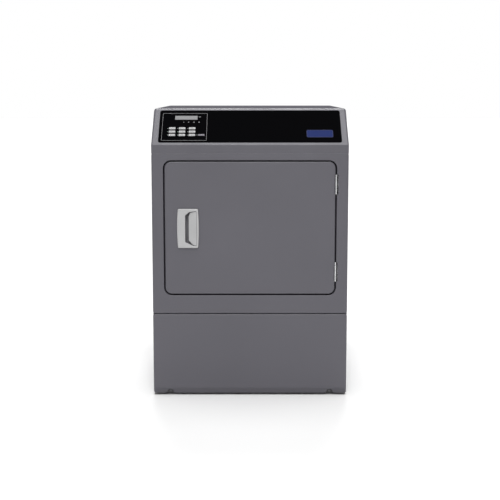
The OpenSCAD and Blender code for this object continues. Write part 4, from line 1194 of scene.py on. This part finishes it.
def strike():
    low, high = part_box("door_strike")
    x, z = (low.x + high.x) / 2, (low.z + high.z) / 2
    base = low.y
    bm = bmesh.new()
    plate = [face_loop(16 * MM, 28 * MM, 3 * MM, base - FRONT + d, z, x, i)
             for d, i in ((0, 0), (1.1 * MM, 0), (1.5 * MM, 0.4 * MM))]
    loft(bm, plate, True, True)
    tip = high.y - 5 * MM
    profile = [(2.6 * MM, base + 1.2 * MM)]
    profile += [(2.6 * MM, tip - 4.3 * MM)]
    for k in range(3, 13):
        a = radians(-60 + 150 * (k - 3) / 9)
        profile.append((max(5 * MM * cos(a), 0.03 * MM), tip + 5 * MM * sin(a)))
    rings = lathe(bm, profile, (x, 0, z), 32)
    bm.faces.new(rings[-1])
    made("strike_pin", bm, 45, BRIGHT, "door", ("door_strike",))


# ---------- back, feet ----------

def back_details():
    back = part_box("rear_panel")[1].y
    b_low, b_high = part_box("cord_bushing")
    bx, bz = (b_low.x + b_high.x) / 2, (b_low.z + b_high.z) / 2
    hoods = bmesh.new()
    slots = [(x * MM, (664 + i * 24) * MM, 140 * MM) for x in (-110, 110) for i in range(9)]
    slots += [(200 * MM, (60 + i * 20) * MM, 120 * MM) for i in range(5)]
    hood_out, hood_drop = 5 * MM, 6.5 * MM
    for x, z, l in slots:
        rows = []
        for k in range(7):
            a = radians(90 * k / 6)
            rows.append((hood_out * sin(a), hood_drop * cos(a)))
        ends = 9
        grid = []
        for j in range(ends + 1):
            t = -1 + 2 * j / ends
            swell = (1 - abs(t) ** 6) ** 0.5
            grid.append([hoods.verts.new((x + t * (l / 2 + 2 * MM), back + out * swell,
                                          z - 3.5 * MM + drop * (0.3 + 0.7 * swell)))
                         for out, drop in rows])
        for ga, gb in zip(grid, grid[1:]):
            for i in range(len(rows) - 1):
                hoods.faces.new((ga[i], gb[i], gb[i + 1], ga[i + 1]))
    hood_piece = made("louvre_hoods", hoods, 50, ZINC, "cabinet", ())
    thicken(hood_piece, 0.5 * MM)
    cover = bmesh.new()
    cw, ch, cz = 96 * MM, 72 * MM, bz + 62 * MM
    loops = [face_loop(cw - 2 * i * MM, ch - 2 * i * MM, r * MM, back - FRONT + d * MM, cz, bx) for d, i, r in
             ((0, 0, 4), (0.9, 0, 4), (1.2, 0.3, 3.7), (1.2, 8, 5), (3, 11, 4), (3.4, 12.5, 3), (3.4, 20, 3))]
    loft(cover, loops, True, True)
    even_normals(made("terminal_cover", cover, 35, ZINC, "cabinet", ()))
    for i, side in enumerate((-1, 1)):
        screw_head("cover_screw_%d" % (i + 1), (bx + side * 43 * MM, back + 1.2 * MM, cz), 1, "cabinet",
                   3.4 * MM, 1.8 * MM)


def feet():
    for node in ("leg_front_left", "leg_front_right", "leg_rear_left", "leg_rear_right"):
        low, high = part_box(node)
        c = (low + high) / 2
        bm = bmesh.new()
        pad = [(r * MM, low.z + z * MM) for r, z in
               ((0.05, 0), (15.5, 0), (17, 1.2), (17, 4.5), (15.5, 6), (6, 6.2), (0.05, 6.2))]
        rings = lathe(bm, pad, (c.x, c.y, 0), 48, "z")
        bm.faces.new(rings[0][::-1])
        bm.faces.new(rings[-1])
        made(node + "_pad", bm, 50, FOOT, node, (node,))
        bm = bmesh.new()
        nut_r = 9 * MM
        hexagon = [Vector((c.x + nut_r * cos(a), c.y + nut_r * sin(a), 0))
                   for a in [radians(60 * k) for k in range(6)]]
        loft(bm, [[p + Vector((0, 0, low.z + z)) for p in hexagon] for z in (6.1 * MM, 11.9 * MM)],
             True, True)
        turns, per_turn, pitch = 33, 20, 1.5 * MM
        start = low.z + 12 * MM
        thread = [(r * MM, dz * MM) for r, dz in ((4.15, -0.75), (4.95, -0.05), (4.95, 0.05), (4.15, 0.75))]
        rows = []
        for k in range(turns * per_turn + 1):
            a = 2 * pi * k / per_turn
            z = start + pitch * k / per_turn
            rows.append([Vector((c.x + r * cos(a), c.y + r * sin(a), z + dz)) for r, dz in thread])
        verts = [[bm.verts.new(p) for p in row] for row in rows]
        for ra, rb in zip(verts, verts[1:]):
            for i in range(3):
                bm.faces.new((ra[i], rb[i], rb[i + 1], ra[i + 1]))
        core = lathe(bm, [(4.2 * MM, low.z + 11.9 * MM), (4.2 * MM, high.z)], (c.x, c.y, 0), 20, "z")
        bm.faces.new(core[1])
        made(node + "_stem", bm, 40, BRIGHT, node, ())


# ---------- stage ----------

def stage():
    bm = bmesh.new()
    size = 30.0
    corners = ((-size, -size), (size, -size), (size, size), (-size, size))
    loft(bm, [[Vector((x, y, z)) for x, y in corners] for z in (0, -0.02)], True, True)
    mesh = finish_mesh(bm, "floor")
    floor = bpy.data.objects.new("floor", mesh)
    mesh.materials.append(FLOOR)
    bpy.context.scene.collection.objects.link(floor)

    studio_world()
    sun("front", 50, 0, 2.0, 24)
    sun("low_front", 8, 0, 0.3, 20)
    sun("overhead", 88, 0, 2.0, 50)
    sun("behind", 50, 180, 1.4, 22)
    sun("side_left", 20, -115, 0.4, 60)
    sun("side_right", 20, 115, 0.4, 60)


def studio_world():
    """White to the camera; soft grey light from all round."""
    world = bpy.data.worlds.new("studio")
    world.use_nodes = True
    tree = world.node_tree
    background = tree.nodes["Background"]
    path = tree.nodes.new("ShaderNodeLightPath")
    either = tree.nodes.new("ShaderNodeMix")
    either.inputs["A"].default_value = 0.10
    either.inputs["B"].default_value = 1.0
    tree.links.new(path.outputs["Is Camera Ray"], either.inputs["Factor"])
    tree.links.new(either.outputs["Result"], background.inputs["Strength"])
    background.inputs["Color"].default_value = (1, 1, 1, 1)
    bpy.context.scene.world = world


def sun(name, elevation, azimuth, strength, softness):
    """Soft distant light: azimuth 0 comes from the front, and grows towards the viewer's right."""
    light = bpy.data.lights.new(name, "SUN")
    light.energy = strength
    light.angle = radians(softness)
    lamp = bpy.data.objects.new(name, light)
    e, a = radians(elevation), radians(azimuth)
    towards = Vector((cos(e) * sin(a), -cos(e) * cos(a), sin(e)))
    lamp.rotation_euler = towards.to_track_quat("Z", "Y").to_euler()
    bpy.context.scene.collection.objects.link(lamp)


def camera():
    """Looks at the front from just above the top; most of the downward view is tilt, the rest is shift."""
    data = bpy.data.cameras.new("camera")
    distance, height, tilt = 3.2, 1.079, 6.508
    data.sensor_width = 36
    data.lens = 66.95
    data.shift_y = -0.109
    cam = bpy.data.objects.new("camera", data)
    cam.location = (0, FRONT - distance, height)
    cam.rotation_euler = (radians(90 - tilt), 0, 0)
    bpy.context.scene.collection.objects.link(cam)
    bpy.context.scene.camera = cam
    bpy.context.scene.view_settings.view_transform = "Standard"


camera()
stage()
paint_frame()
front_panel()
lower_panel()
top_shell()
console_shell()
keypad_outline()
keys()
lamps()
status_icons()
display()
badge()
door_face()
door_inner()
gasket()
door_pull()
hinge_knuckles()
cabinet_screws()
drum()
baffles()
lint_filter()
strike()
back_details()
feet()
